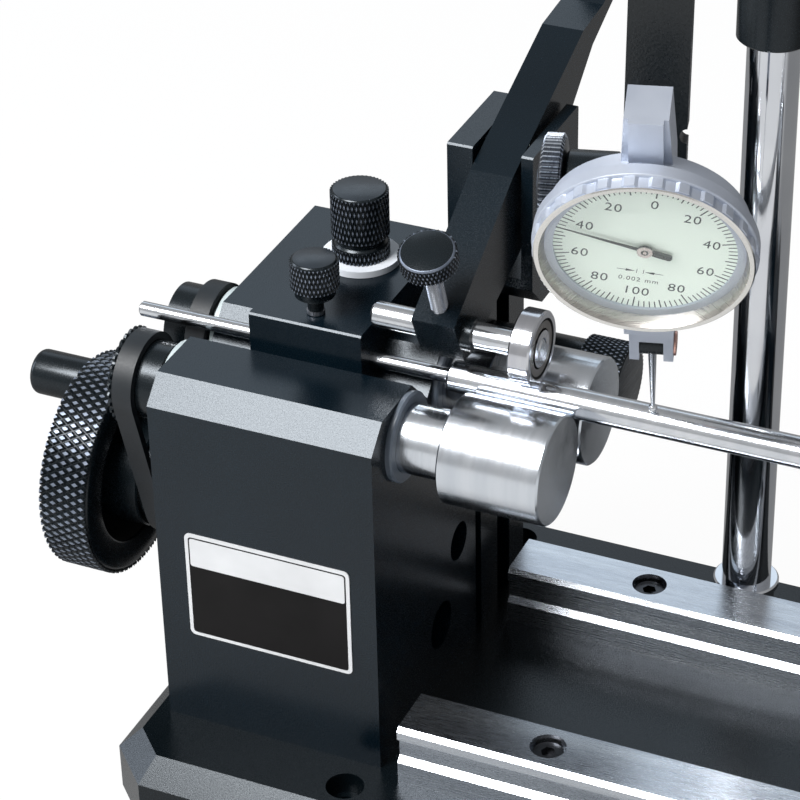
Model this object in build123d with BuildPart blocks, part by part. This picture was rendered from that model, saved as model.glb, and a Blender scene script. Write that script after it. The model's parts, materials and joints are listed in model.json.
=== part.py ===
from build123d import *
from math import cos, radians, sin, sqrt
import os

# Concentricity gauge: a headstock with two driven rollers, a pressure bearing on a lifting lever,
# two guide rails with a sliding steady, and a lever type dial indicator on a post.
# Millimetres, +X along the rails, +Y away from the front, +Z up, origin under the base's centre.

# Fits
running_gap = 0.05
slide_gap = 0.1
touch_gap = 0.08
rest_gap = 0.2
overrun = 1.0
edge_break = 0.4

# Base plate
base_length = 330.0
base_height = 23.0
base_bevel = 5.5
base_corner = 11.0
fixing_inset_x = 58.7
fixing_inset_y = 12.4
fixing_hole_r = 2.75
fixing_head_r = 4.5
fixing_head_depth = 5.5

# Headstock body
head_inset_x = 8.6
head_inset_y = 21.5
head_length = 55.0
head_depth = 88.0
head_height = 92.1
head_bevel = 5.9
groove_from_front = 30.15
groove_width = 16.4
side_hole_r = 4.9
side_hole_depth = 10.0
side_hole_from_front = 47.0
side_hole_rise = 33.5
low_hole_r = 6.0
low_hole_from_front = 36.0
low_hole_rise = 16.2
clamp_slit_from_front = 57.2
clamp_slit_width = 3.4
clamp_slit_depth = 8.0
key_groove_from_front = 70.9
key_groove_width = 7.7
key_groove_depth = 7.0

# Screws that come up through the base
base_screw_r = 3.0
base_screw_head_r = 5.0
base_screw_head = 6.0
base_screw_depth = 16.0
base_screw_sink = 1.0
head_screw_pitch_x = 34.0
head_screw_pitch_y = 58.0

# Rollers, their bushes and pulleys
roller_r = 12.5
roller_length = 23.8
roller_pitch = 25.7
roller_drop = 10.55
roller_neck_r = 8.0
roller_neck_length = 12.7
roller_shaft_r = 5.0
bush_flange_r = 10.5
bush_flange = 1.5
bush_body_r = 9.0
bush_body_length = 12.0
pulley_r = 9.2
pulley_length = 11.4
pulley_gap = 1.0
pulley_flange = 1.1
pulley_flange_r = 11.4
belt_width = 4.9
belt_thickness = 1.7
belt_gap = 0.15

# Handwheel and its crank handle
wheel_r = 26.3
wheel_width = 13.0
wheel_recess_r = 18.3
wheel_recess_depth = 8.0
wheel_drop = 46.4
wheel_reach = 34.0
wheel_hub_r = 13.0
wheel_face_dish = 1.5
wheel_dish_r = 14.0
drive_pulley_r = 11.6
wheel_shaft_r = 5.0
wheel_shaft_length = 40.0
wheel_screw_r = 2.5
wheel_screw_head_r = 4.4
wheel_screw_head = 4.0
wheel_screw_length = 10.0
wheel_washer_r = 6.5
wheel_washer = 1.0
handle_r = 5.7
handle_length = 24.6
handle_nose = 1.8
handle_orbit = 20.1
handle_heading = 23.3
handle_pin_r = 2.5
handle_pin_length = 18.0
handle_pin_root = 3.5

# Work shaft held in the gauge
shaft_r = 3.5
shaft_length = 220.0
shaft_start = 6.0
shaft_chamfer = 0.5

# Lever, its fork and pivot
fork_start = 47.5
fork_width = 20.8
fork_depth = 28.0
fork_height = 40.2
fork_left_cheek = 6.2
fork_right_cheek = 2.8
fork_floor = 8.6
fork_undercut = 6.0
lever_start = 54.4
lever_width = 10.2
pivot_setback = 45.85
pivot_from_fork_front = 15.85
pivot_rise_share = 0.4915
pivot_pin_r = 2.5
lever_under_shares = (
    (-1.029, -0.635),
    (-0.929, -0.646),
    (-0.349, -0.425),
    (-0.044, -0.29),
    (0.408, 0.072),
    (0.67, 0.28),
    (0.949, 0.401),
)
lever_tab_shares = ((1.156, 0.55), (1.254, 0.811), (1.194, 0.868), (1.134, 0.811), (1.014, 0.561))
lever_top_shares = ((0.807, 0.441), (0.532, 0.417), (-0.406, 0.052), (-1.143, -0.388))

# Pressure bearing on its spindle
bearing_r = 8.5
bearing_width = 5.0
bearing_start = 77.6
bearing_ring_r = 4.2
bearing_bore_r = 2.5
bearing_race_r = 6.5
shield_sink = 0.35
shield_thickness = 0.3
spindle_r = 3.0
spindle_start = 42.5
spindle_chamfer = 0.7
spindle_bush_r = 4.0
spindle_bush_width = 2.4
clamp_screw_r = 2.0
clamp_screw_tilt = 20.0
clamp_screw_reach = 21.4
clamp_screw_head_r = 6.55
clamp_screw_head = 4.5

# End stop
block_start = 14.0
block_length = 27.7
block_height = 8.1
block_front = 5.85
block_back = 35.55
block_corner = 4.0
keel_flat = 1.5
block_travel = 5.0
stop_rod_r = 1.75
stop_rod_length = 77.8
rod_screw_start = 14.05
rod_screw_r = 1.6
rod_screw_ring_r = 2.1
rod_screw_ring = 1.0
rod_screw_collar_r = 4.66
rod_screw_collar_rise = 4.75
rod_screw_head_r = 5.6
rod_screw_head_rise = 7.1
rod_screw_top = 14.2
knob_start = 13.45
knob_setback = 25.7
knob_stud_r = 3.0
knob_stud_depth = 10.0
knob_washer_r = 9.2
knob_washer = 1.6
knob_ring_r = 6.75
knob_ring = 3.2
knob_groove_r = 6.2
knob_groove = 2.0
knob_r = 6.8
knob_height = 11.6

# Lock knob on the headstock's right face
lock_setback = 66.5
lock_drop = 17.8
lock_barrel_r = 8.5
lock_barrel_length = 24.0
lock_head_r = 10.0
lock_head = 11.0
lock_stud_r = 4.0
lock_stud_depth = 14.0

# Guide rails
rail_gap = 5.6
rail_length = 240.0
rail_width = 15.0
rail_height = 15.3
rail_from_front = 4.8
rail_pitch = 66.7
rail_top_bevel = 1.0
rail_foot = 5.4
rail_waist = 1.35
rail_shoulder = 3.2
rail_screw_start = 34.1
rail_screw_pitch = 60.0
rail_screw_count = 4
rail_head_hole_r = 4.2
rail_head_hole_depth = 5.6
rail_screw_head_r = 3.5
rail_screw_head = 4.0
rail_screw_r = 2.0
rail_screw_depth = 20.0
rail_socket_width = 3.0
rail_socket_depth = 2.0

# Sliding steady
carriage_from_head = 143.0
carriage_length = 46.0
slider_width = 34.0
slider_lift = 4.3
slider_height = 24.0
slider_side_gap = 0.4
track_depth = 1.2
saddle_screw_depth = 7.0
steady_room = 3.0
saddle_height = 12.0
saddle_bevel = 1.0
steady_r = 9.5
steady_width = 6.0
steady_half_pitch = 9.85
steady_pin_r = 3.0
steady_pin_head_r = 4.5
steady_pin_head = 2.5
steady_plate = 9.0
steady_plate_width = 40.0
steady_collar = 1.0
steady_rim = 1.0
saddle_screw_r = 2.5
saddle_screw_head_r = 4.25
saddle_screw_head = 5.0
saddle_screw_inset = 8.0
saddle_screw_spread = 12.5
carriage_knob_r = 9.0
carriage_knob = 10.0
carriage_stud_r = 3.0
carriage_stud = 6.0

# Post and the sleeve on it
post_from_head = 113.9
post_setback = 88.1
post_inset_y = 21.9
post_r = 6.0
post_spare = 40.0
post_foot_r = 7.0
post_foot_height = 10.6
post_washer_r = 8.0
post_washer_height = 1.6
sleeve_r = 8.5
sleeve_length = 46.6
stand_knob_drop = 18.6
stand_knob_r = 8.0
stand_knob = 10.0
stand_stud_r = 3.0
stand_stud = 8.0

# Indicator, placed by its contact ball and turned as it stands over the shaft
ball_from_head = 109.1
ball_front = 2.11
ball_r = 1.0
ball_gap = 0.08
indicator_turn = 14.885
indicator_tilt = 20.16
stylus_length = 20.3
carrier_pin_r = 1.2
stylus_tip_r = 0.45
stylus_root_r = 0.95
carrier_r = 2.6
carrier_width = 5.0
carrier_rise = 22.9
prong_half = 4.6
prong_bottom = 19.7
prong_top = 34.0
prong_depth = 2.5
body_half = 5.1
body_top_half = 4.3
body_taper_start = 84.0
body_top = 99.0
body_back = 1.5
body_front = 8.5
body_step = 1.3
rib_half = 3.35
dial_rise = 67.2
dial_front = 12.0
dial_r = 19.6
dial_thickness = 0.5
dial_hole_r = 1.0
case_r = 20.2
case_back = 5.0
spigot_r = 18.0
bezel_r = 22.3
bezel_back = 2.6
bezel_band = 0.6
bezel_grip_r = 21.9
bezel_lip_r = 21.5
bezel_height = 3.55
crystal_back = 2.3
crystal_thickness = 0.6
pointer_heading = 161.5
pointer_length = 18.2
pointer_tail = 5.6
pointer_half = 0.45
pointer_tail_half = 0.8
pointer_hub_r = 1.6
pointer_lift = 0.5
pointer_thickness = 0.3
pointer_shaft_r = 0.6

# Holder between the indicator and the stand
holder_rise = 64.0
holder_back = 6.0
holder_lean = 8.0
bar_width = 12.6
bar_thickness = 5.5
bar_length = 57.0
bar_knuckle_r = 3.4
bar_boss_r = 3.6
bar_boss = 0.3
bar_notch_r = 1.5
bar_boss_rise = 12.6
axle_r = 2.0
clamp_sleeve_r = 7.3
clamp_sleeve_length = 11.2
clamp_sleeve_chamfer = 0.8
clamp_wheel_r = 10.4
clamp_wheel_width = 5.0
clamp_collar_r = 5.5
clamp_collar = 2.5
jaw_half = 4.0
jaw_depth = 2.2
eye_r = 8.0
eye_length = 12.0
arm_r = 4.0
arm_front = 8.0
arm_back = 92.0
cross_clamp_r = 11.0
cross_clamp_height = 20.0

# Places that follow from the sizes above
base_width = head_inset_y + post_setback + post_inset_y
head_left = -base_length / 2 + head_inset_x
head_right = head_left + head_length
head_front = -base_width / 2 + head_inset_y
head_back = head_front + head_depth
head_top = base_height + head_height
axis_y = head_front + groove_from_front
groove_half = groove_width / 2
front_roller_y = axis_y - roller_pitch / 2
rear_roller_y = axis_y + roller_pitch / 2
roller_z = head_top - roller_drop
nip = roller_r + shaft_r + touch_gap
shaft_z = roller_z + sqrt(nip**2 - (roller_pitch / 2)**2)
bearing_z = shaft_z + shaft_r + touch_gap + bearing_r
roller_start = head_right + roller_neck_length
wheel_z = head_top - wheel_drop
pulley_left = head_left - bush_flange - pulley_gap - pulley_length
wheel_left = head_left - wheel_reach
handle_turn = radians(handle_heading)
handle_y = axis_y + handle_orbit * cos(handle_turn)
handle_z = wheel_z + handle_orbit * sin(handle_turn)
lock_y = head_front + lock_setback
lock_z = head_top - lock_drop
stop_left = head_left + block_start
fork_left = head_left + fork_start
fork_front = axis_y + pivot_setback - pivot_from_fork_front
fork_y = fork_front + fork_depth / 2
pivot_y = axis_y + pivot_setback
pivot_z = bearing_z + pivot_setback * pivot_rise_share
lever_left = head_left + lever_start
bearing_left = head_left + bearing_start
clamp_tilt = radians(clamp_screw_tilt)
clamp_way = (0, -sin(clamp_tilt), cos(clamp_tilt))
clamp_foot = (lever_left + lever_width / 2, axis_y, bearing_z)
screw_seat_plane = Plane(origin=clamp_foot, x_dir=(1, 0, 0), z_dir=clamp_way)
screw_spin_plane = Plane(origin=clamp_foot, x_dir=clamp_way, z_dir=(1, 0, 0))
knob_y = axis_y + knob_setback
knob_x = head_left + knob_start + block_start
rod_screw_x = head_left + rod_screw_start + block_start
shaft_left = head_right + shaft_start
rail_left = head_right + rail_gap
rail_y = (head_front + rail_from_front, head_front + rail_from_front + rail_pitch)
rail_top = base_height + rail_height
carriage_left = head_right + carriage_from_head
carriage_x = carriage_left + carriage_length / 2
track_z = base_height + (rail_foot + rail_height - rail_shoulder) / 2
saddle_reach = carriage_length / 2 - saddle_screw_inset
saddle_screw_places = [
    (carriage_x + side_x * saddle_reach, middle_y + side_y * saddle_screw_spread)
    for side_x in (-1, 1)
    for middle_y in rail_y
    for side_y in (-1, 1)
]
slider_bottom = base_height + slider_lift
slider_top = base_height + slider_height
saddle_top = slider_top + saddle_height
post_x = head_left + post_from_head
post_y = head_front + post_setback
head_middle = (head_left + head_length / 2, head_front + head_depth / 2)
head_screw_places = [
    (head_middle[0] + side_x * head_screw_pitch_x / 2, head_middle[1] + side_y * head_screw_pitch_y / 2)
    for side_x in (-1, 1)
    for side_y in (-1, 1)
]
base_screw_places = head_screw_places + [(post_x, post_y)]

# The indicator's own directions: across its dial, up its body and out of its dial
turn = radians(indicator_turn)
tilt = radians(indicator_tilt)
across = Vector(cos(turn), sin(turn), 0)
forward = Vector(sin(turn), -cos(turn), 0)
outward = Vector(sin(turn) * cos(tilt), -cos(turn) * cos(tilt), -sin(tilt))
upward = outward.cross(across)
ball_z = shaft_z + shaft_r + ball_r + ball_gap
ball = Vector(head_left + ball_from_head, axis_y - ball_front, ball_z)
holder_axis = ball + upward * holder_rise - outward * holder_back
lean = radians(holder_lean)
bar_up = Vector(0, 0, cos(lean)) - forward * sin(lean)
bar_out = across.cross(bar_up)
eye = holder_axis + bar_up * bar_length
post_middle = Vector(post_x, post_y, eye.Z)
arm_offset = (post_middle - eye).dot(across)
stylus_end = stylus_length + carrier_r / 2
dial_middle = ball + upward * dial_rise + outward * dial_front
dial_spin_plane = Plane(origin=dial_middle, x_dir=outward, z_dir=upward)
clamp_bottom = eye.Z - cross_clamp_height / 2
sleeve_top = clamp_bottom - slide_gap
knob_line = Vector(post_x, post_y, sleeve_top - stand_knob_drop)
sleeve_knob_plane = Plane(origin=knob_line, x_dir=across, z_dir=-forward)
sleeve_spin_plane = Plane(origin=knob_line, x_dir=-forward, z_dir=across)
clamp_knob_plane = Plane(origin=post_middle, x_dir=forward, z_dir=across)
clamp_spin_plane = Plane(origin=post_middle, x_dir=across, z_dir=forward)
post_top = eye.Z + cross_clamp_height / 2 + post_spare


# Planes whose local X is the axis that a turned piece spins about
def spin_x(x, y, z):
    return Plane(origin=(x, y, z), x_dir=(1, 0, 0), z_dir=(0, -1, 0))


def spin_y(x, y, z):
    return Plane(origin=(x, y, z), x_dir=(0, 1, 0), z_dir=(1, 0, 0))


def spin_z(x, y, z):
    return Plane(origin=(x, y, z), x_dir=(0, 0, 1), z_dir=(0, 1, 0))


# Planes that face along an axis
def face_x(x, y, z):
    return Plane(origin=(x, y, z), x_dir=(0, 1, 0), z_dir=(1, 0, 0))


def face_y(x, y, z):
    return Plane(origin=(x, y, z), x_dir=(-1, 0, 0), z_dir=(0, 1, 0))


def face_z(x, y, z):
    return Plane(origin=(x, y, z), x_dir=(1, 0, 0), z_dir=(0, 0, 1))


def dial_plane(across_by, up_by, out_by):
    """A plane that faces out of the dial, moved by the indicator's own directions."""
    origin = ball + across * across_by + upward * up_by + outward * out_by
    return Plane(origin=origin, x_dir=across, z_dir=outward)


def across_plane(across_by, up_by, out_by):
    """A plane that faces across the indicator, with the indicator's up as its local X."""
    origin = ball + across * across_by + upward * up_by + outward * out_by
    return Plane(origin=origin, x_dir=upward, z_dir=across)


def turned(plane, points, mode=Mode.ADD):
    """Spin an outline of (place along the axis, radius) points about the plane's local X."""
    with BuildSketch(plane) as outline:
        with BuildLine():
            Polyline(*points, close=True)
        make_face()
    revolve(outline.sketch, axis=Axis(plane.origin, plane.x_dir), mode=mode)


def round_bar(plane, radius, length, mode=Mode.ADD):
    """A cylinder that starts on the plane and runs along its normal."""
    with BuildSketch(plane) as outline:
        Circle(radius)
    extrude(outline.sketch, amount=length, mode=mode)


def block(plane, width, height, length, mode=Mode.ADD):
    """A rectangle centred on the plane and run along its normal."""
    with BuildSketch(plane) as outline:
        Rectangle(width, height)
    extrude(outline.sketch, amount=length, mode=mode)


def plate(plane, points, length, mode=Mode.ADD):
    """A closed outline of straight lines, run along the plane's normal."""
    with BuildSketch(plane) as outline:
        with BuildLine():
            Polyline(*points, close=True)
        make_face()
    extrude(outline.sketch, amount=length, mode=mode)


def bar_points(start, end, radius, chamfer_size):
    """The outline of a plain shaft with both ends chamfered."""
    return [
        (start, 0),
        (start, radius - chamfer_size),
        (start + chamfer_size, radius),
        (end - chamfer_size, radius),
        (end, radius - chamfer_size),
        (end, 0),
    ]


# Base plate
with BuildPart() as base_plate:
    with BuildSketch() as base_outline:
        Rectangle(base_length, base_width)
        chamfer(base_outline.vertices(), base_corner)
    extrude(amount=base_height)
    base_faces = base_plate.faces().filter_by(Axis.Z)
    chamfer(base_faces.edges(), base_bevel)
    with Locations(Plane.XY.offset(base_height)):
        fixing_spacing_x = base_length - 2 * fixing_inset_x
        fixing_spacing_y = base_width - 2 * fixing_inset_y
        with GridLocations(fixing_spacing_x, fixing_spacing_y, 2, 2):
            CounterBoreHole(fixing_hole_r, fixing_head_r, fixing_head_depth)
    for screw_y in rail_y:
        for number in range(rail_screw_count):
            screw_x = rail_left + rail_screw_start + number * rail_screw_pitch
            thread_top = face_z(screw_x, screw_y, base_height)
            thread_depth = rail_screw_depth + running_gap - rail_height
            round_bar(thread_top, rail_screw_r + running_gap, -thread_depth, Mode.SUBTRACT)
    for screw_x, screw_y in base_screw_places:
        screw_seat = face_z(screw_x, screw_y, 0)
        head_room = base_screw_head + base_screw_sink
        round_bar(screw_seat, base_screw_r + running_gap, base_height, Mode.SUBTRACT)
        round_bar(screw_seat, base_screw_head_r + slide_gap, head_room, Mode.SUBTRACT)

# Screws under the base that hold the headstock and the post
with BuildPart() as base_screws:
    for screw_x, screw_y in base_screw_places:
        round_bar(face_z(screw_x, screw_y, base_screw_sink), base_screw_head_r, base_screw_head)
        shank_length = base_screw_depth + base_height - base_screw_sink
        round_bar(face_z(screw_x, screw_y, base_screw_sink), base_screw_r, shank_length)

# Headstock body with its V groove, roller bores and clamp slits
with BuildPart() as headstock_body:
    head_outline = [
        (head_front, base_height),
        (head_back, base_height),
        (head_back, head_top),
        (axis_y + groove_half, head_top),
        (axis_y, head_top - groove_half),
        (axis_y - groove_half, head_top),
        (head_front + head_bevel, head_top),
        (head_front, head_top - head_bevel),
    ]
    plate(face_x(head_left, 0, 0), head_outline, head_length)
    for roller_y in (front_roller_y, rear_roller_y):
        bore = face_x(head_left, roller_y, roller_z)
        round_bar(bore, bush_body_r + running_gap, head_length, Mode.SUBTRACT)
    wheel_bore = face_x(head_left, axis_y, wheel_z)
    wheel_bore_length = wheel_shaft_length + rest_gap
    round_bar(wheel_bore, wheel_shaft_r + running_gap, wheel_bore_length, Mode.SUBTRACT)
    side_hole = face_x(head_right, head_front + side_hole_from_front, base_height + side_hole_rise)
    round_bar(side_hole, side_hole_r, -side_hole_depth, Mode.SUBTRACT)
    low_hole = face_x(head_right, head_front + low_hole_from_front, base_height + low_hole_rise)
    round_bar(low_hole, low_hole_r, -side_hole_depth, Mode.SUBTRACT)
    slit_y = head_front + clamp_slit_from_front + clamp_slit_width / 2
    slit_middle = (base_height + head_top) / 2
    slit = face_x(head_right, slit_y, slit_middle)
    block(slit, clamp_slit_width, head_height, -clamp_slit_depth, Mode.SUBTRACT)
    key_y = head_front + key_groove_from_front + key_groove_width / 2
    key_groove = face_x(head_right, key_y, slit_middle)
    block(key_groove, key_groove_width, head_height, -key_groove_depth, Mode.SUBTRACT)
    lock_hole = face_x(head_right, lock_y, lock_z)
    lock_hole_depth = lock_stud_depth + rest_gap
    round_bar(lock_hole, lock_stud_r + running_gap, -lock_hole_depth, Mode.SUBTRACT)
    knob_hole = face_z(knob_x, knob_y, head_top)
    round_bar(knob_hole, knob_stud_r + running_gap, -knob_stud_depth - rest_gap, Mode.SUBTRACT)
    for screw_x, screw_y in head_screw_places:
        screw_thread = face_z(screw_x, screw_y, base_height)
        thread_room = base_screw_depth + rest_gap
        round_bar(screw_thread, base_screw_r + running_gap, thread_room, Mode.SUBTRACT)

# Flanged bushes that carry the roller shafts, one in each face of the headstock
with BuildPart() as roller_bushes:
    for roller_y in (front_roller_y, rear_roller_y):
        left_bush = [
            (-bush_flange, roller_shaft_r + running_gap),
            (-bush_flange, bush_flange_r),
            (0, bush_flange_r),
            (0, bush_body_r),
            (bush_body_length, bush_body_r),
            (bush_body_length, roller_shaft_r + running_gap),
        ]
        turned(spin_x(head_left, roller_y, roller_z), left_bush)
        right_bush = [
            (bush_flange, roller_neck_r + running_gap),
            (bush_flange, bush_flange_r - edge_break),
            (bush_flange - edge_break, bush_flange_r),
            (0, bush_flange_r),
            (0, bush_body_r),
            (-bush_body_length, bush_body_r),
            (-bush_body_length, roller_neck_r + running_gap),
        ]
        turned(spin_x(head_right, roller_y, roller_z), right_bush)


def make_roller(roller_y):
    """A ground roller with its neck and the shaft that runs through the headstock."""
    neck_start = -roller_neck_length - bush_body_length - bush_flange
    shaft_end = pulley_left - roller_start - edge_break
    points = [
        (shaft_end, 0),
        (shaft_end, roller_shaft_r),
        (neck_start, roller_shaft_r),
        (neck_start, roller_neck_r),
        (0, roller_neck_r),
        (0, roller_r - edge_break),
        (edge_break, roller_r),
        (roller_length - edge_break, roller_r),
        (roller_length, roller_r - edge_break),
        (roller_length, 0),
    ]
    with BuildPart() as roller:
        turned(spin_x(roller_start, roller_y, roller_z), points)
    return roller


def make_pulley(roller_y, rim):
    """A belt drum on the left end of a roller shaft, with the rim given for its left end."""
    points = [
        (0, roller_shaft_r),
        *rim,
        (pulley_length - edge_break, pulley_r),
        (pulley_length, pulley_r - edge_break),
        (pulley_length, roller_shaft_r),
    ]
    with BuildPart() as pulley:
        turned(spin_x(pulley_left, roller_y, roller_z), points)
    return pulley


def make_belt(belt_left, roller_y):
    """A flat belt round a roller pulley and the drive pulley."""
    with BuildPart() as belt:
        with BuildSketch(face_x(belt_left, 0, 0)) as loop:
            with Locations((roller_y, roller_z)):
                Circle(pulley_r + belt_gap + belt_thickness)
            with Locations((axis_y, wheel_z)):
                Circle(drive_pulley_r + belt_gap + belt_thickness)
            make_hull()
        with BuildSketch(face_x(belt_left, 0, 0)) as hollow:
            with Locations((roller_y, roller_z)):
                Circle(pulley_r + belt_gap)
            with Locations((axis_y, wheel_z)):
                Circle(drive_pulley_r + belt_gap)
            make_hull()
        extrude(loop.sketch, amount=belt_width)
        extrude(hollow.sketch, amount=belt_width, mode=Mode.SUBTRACT)
    return belt


front_roller = make_roller(front_roller_y)
rear_roller = make_roller(rear_roller_y)
flanged_rim = [(0, pulley_flange_r), (pulley_flange, pulley_flange_r), (pulley_flange, pulley_r)]
front_pulley = make_pulley(front_roller_y, flanged_rim)
rear_pulley = make_pulley(rear_roller_y, [(0, pulley_r - edge_break), (edge_break, pulley_r)])
front_belt = make_belt(pulley_left + pulley_flange + belt_gap, front_roller_y)
rear_belt = make_belt(pulley_left + pulley_length - belt_width, rear_roller_y)

# Pulley that drives both belts
drive_length = head_left - rest_gap - pulley_left + pulley_gap
with BuildPart() as drive_pulley:
    drive_points = [
        (0, wheel_shaft_r),
        (0, drive_pulley_r),
        (drive_length, drive_pulley_r),
        (drive_length, wheel_shaft_r),
    ]
    turned(spin_x(pulley_left - pulley_gap, axis_y, wheel_z), drive_points)

# Handwheel with its recessed right side and hub
with BuildPart() as handwheel:
    hub_end = pulley_left - pulley_gap - wheel_left
    wheel_points = [
        (wheel_face_dish, wheel_shaft_r),
        (wheel_face_dish, wheel_dish_r),
        (0, wheel_dish_r + wheel_face_dish),
        (0, wheel_r - edge_break),
        (edge_break, wheel_r),
        (wheel_width - edge_break, wheel_r),
        (wheel_width, wheel_r - edge_break),
        (wheel_width, wheel_recess_r),
        (wheel_width - wheel_recess_depth, wheel_recess_r),
        (wheel_width - wheel_recess_depth, wheel_hub_r),
        (hub_end - edge_break, wheel_hub_r),
        (hub_end, wheel_hub_r - edge_break),
        (hub_end, wheel_shaft_r),
    ]
    turned(spin_x(wheel_left, axis_y, wheel_z), wheel_points)
    round_bar(face_x(wheel_left, handle_y, handle_z), handle_pin_r, handle_pin_root, Mode.SUBTRACT)

# Shaft of the handwheel, running in the headstock
with BuildPart() as handwheel_shaft:
    shaft_outer_end = wheel_left + wheel_face_dish - head_left
    wheel_shaft_points = bar_points(shaft_outer_end, wheel_shaft_length, wheel_shaft_r, edge_break)
    turned(spin_x(head_left, axis_y, wheel_z), wheel_shaft_points)
    thread = face_x(wheel_left + wheel_face_dish, axis_y, wheel_z)
    round_bar(thread, wheel_screw_r, wheel_screw_length, Mode.SUBTRACT)

# Screw that holds the handwheel on its shaft
with BuildPart() as handwheel_screw:
    wheel_screw_seat = face_x(wheel_left + wheel_face_dish, axis_y, wheel_z)
    round_bar(wheel_screw_seat, wheel_screw_r, wheel_screw_length)
    round_bar(wheel_screw_seat, wheel_screw_head_r, -wheel_screw_head)
    round_bar(wheel_screw_seat, wheel_washer_r, -wheel_washer)


def make_handle():
    """The smooth crank handle, closed at its outer end, which turns on its pin."""
    handle_points = [
        (-rest_gap, handle_pin_r + running_gap),
        (-rest_gap, handle_r - edge_break),
        (-rest_gap - edge_break, handle_r),
        (handle_nose - handle_length, handle_r),
        (handle_nose / 2 - handle_length, handle_r - handle_nose / 3),
        (-handle_length, handle_r - handle_nose),
        (-handle_length, 0),
        (-handle_pin_length - rest_gap, 0),
        (-handle_pin_length - rest_gap, handle_pin_r + running_gap),
    ]
    with BuildPart() as handle:
        turned(spin_x(wheel_left, handle_y, handle_z), handle_points)
    return handle


crank_handle = make_handle()
with BuildPart() as handle_pin:
    handle_pin_points = bar_points(-handle_pin_length, handle_pin_root, handle_pin_r, edge_break)
    turned(spin_x(wheel_left, handle_y, handle_z), handle_pin_points)

# Work shaft held in the gauge
with BuildPart() as test_shaft:
    turned(spin_x(shaft_left, axis_y, shaft_z), bar_points(0, shaft_length, shaft_r, shaft_chamfer))

# Fork block that carries the lever's pivot, cut away under its front
with BuildPart() as fork_block:
    fork_outline = [
        (fork_front + fork_undercut, head_top),
        (fork_front + fork_depth, head_top),
        (fork_front + fork_depth, head_top + fork_height),
        (fork_front, head_top + fork_height),
        (fork_front, head_top + fork_undercut),
    ]
    plate(face_x(fork_left, 0, 0), fork_outline, fork_width)
    slot_width = fork_width - fork_left_cheek - fork_right_cheek
    slot_x = fork_left + fork_left_cheek + slot_width / 2
    slot_floor = face_z(slot_x, fork_y, head_top + fork_floor)
    block(slot_floor, slot_width, fork_depth + overrun, fork_height, Mode.SUBTRACT)
    top_edges = fork_block.edges().group_by(Axis.Z)[-1].filter_by(Axis.X)
    chamfer(top_edges, edge_break)
    round_bar(face_x(fork_left, pivot_y, pivot_z), pivot_pin_r + running_gap, fork_width, Mode.SUBTRACT)

# Pivot pin of the lever
with BuildPart() as lever_pivot_pin:
    pin_plane = spin_x(fork_left, pivot_y, pivot_z)
    turned(pin_plane, bar_points(0, fork_width, pivot_pin_r, edge_break))

# Lever with its bent outline and lifting tab
with BuildPart() as lever:
    lever_under = [(y * pivot_setback, z * pivot_setback) for y, z in lever_under_shares]
    lever_tab = [(y * pivot_setback, z * pivot_setback) for y, z in lever_tab_shares]
    lever_top = [(y * pivot_setback, z * pivot_setback) for y, z in lever_top_shares]
    with BuildSketch(face_x(lever_left, pivot_y, pivot_z)) as lever_outline:
        with BuildLine():
            Polyline(*lever_under)
            ThreePointArc(lever_under[-1], lever_tab[0], lever_tab[1])
            ThreePointArc(lever_tab[1], lever_tab[2], lever_tab[3])
            ThreePointArc(lever_tab[3], lever_tab[4], lever_top[0])
            Polyline(*lever_top)
            Line(lever_top[-1], lever_under[0])
        make_face()
    extrude(lever_outline.sketch, amount=lever_width)
    round_bar(face_x(lever_left, pivot_y, pivot_z), pivot_pin_r + running_gap, lever_width, Mode.SUBTRACT)
    round_bar(face_x(lever_left, axis_y, bearing_z), spindle_r + running_gap, lever_width, Mode.SUBTRACT)
    round_bar(screw_seat_plane, clamp_screw_r + running_gap, clamp_screw_reach, Mode.SUBTRACT)

# Bush on the lever's right side, round the spindle
with BuildPart() as spindle_bush:
    bush_plane = face_x(lever_left + lever_width, axis_y, bearing_z)
    round_bar(bush_plane, spindle_bush_r, spindle_bush_width)
    round_bar(bush_plane, spindle_r + running_gap, spindle_bush_width, Mode.SUBTRACT)

# Spindle that carries the pressure bearing
with BuildPart() as pressure_spindle:
    spindle_length = bearing_start - spindle_start
    spindle_points = [
        (0, 0),
        (0, spindle_r - spindle_chamfer),
        (spindle_chamfer, spindle_r),
        (spindle_length, spindle_r),
        (spindle_length, bearing_bore_r),
        (spindle_length + bearing_width - edge_break, bearing_bore_r),
        (spindle_length + bearing_width + edge_break / 2, bearing_bore_r - edge_break * 2),
        (spindle_length + bearing_width + edge_break / 2, 0),
    ]
    turned(spin_x(head_left + spindle_start, axis_y, bearing_z), spindle_points)

# Inner ring of the pressure bearing
with BuildPart() as bearing_inner_ring:
    inner_points = [
        (0, bearing_bore_r),
        (0, bearing_ring_r),
        (bearing_width, bearing_ring_r),
        (bearing_width, bearing_bore_r),
    ]
    turned(spin_x(bearing_left, axis_y, bearing_z), inner_points)

# Outer ring of the pressure bearing with its two shields
with BuildPart() as bearing_outer_ring:
    outer_points = [
        (0, bearing_race_r),
        (0, bearing_r - edge_break),
        (edge_break, bearing_r),
        (bearing_width - edge_break, bearing_r),
        (bearing_width, bearing_r - edge_break),
        (bearing_width, bearing_race_r),
    ]
    turned(spin_x(bearing_left, axis_y, bearing_z), outer_points)
    shield_far = bearing_width - shield_sink - shield_thickness
    for shield_at in (shield_sink, shield_far):
        shield_points = [
            (shield_at, bearing_ring_r + rest_gap),
            (shield_at, bearing_race_r),
            (shield_at + shield_thickness, bearing_race_r),
            (shield_at + shield_thickness, bearing_ring_r + rest_gap),
        ]
        turned(spin_x(bearing_left, axis_y, bearing_z), shield_points)

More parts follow.
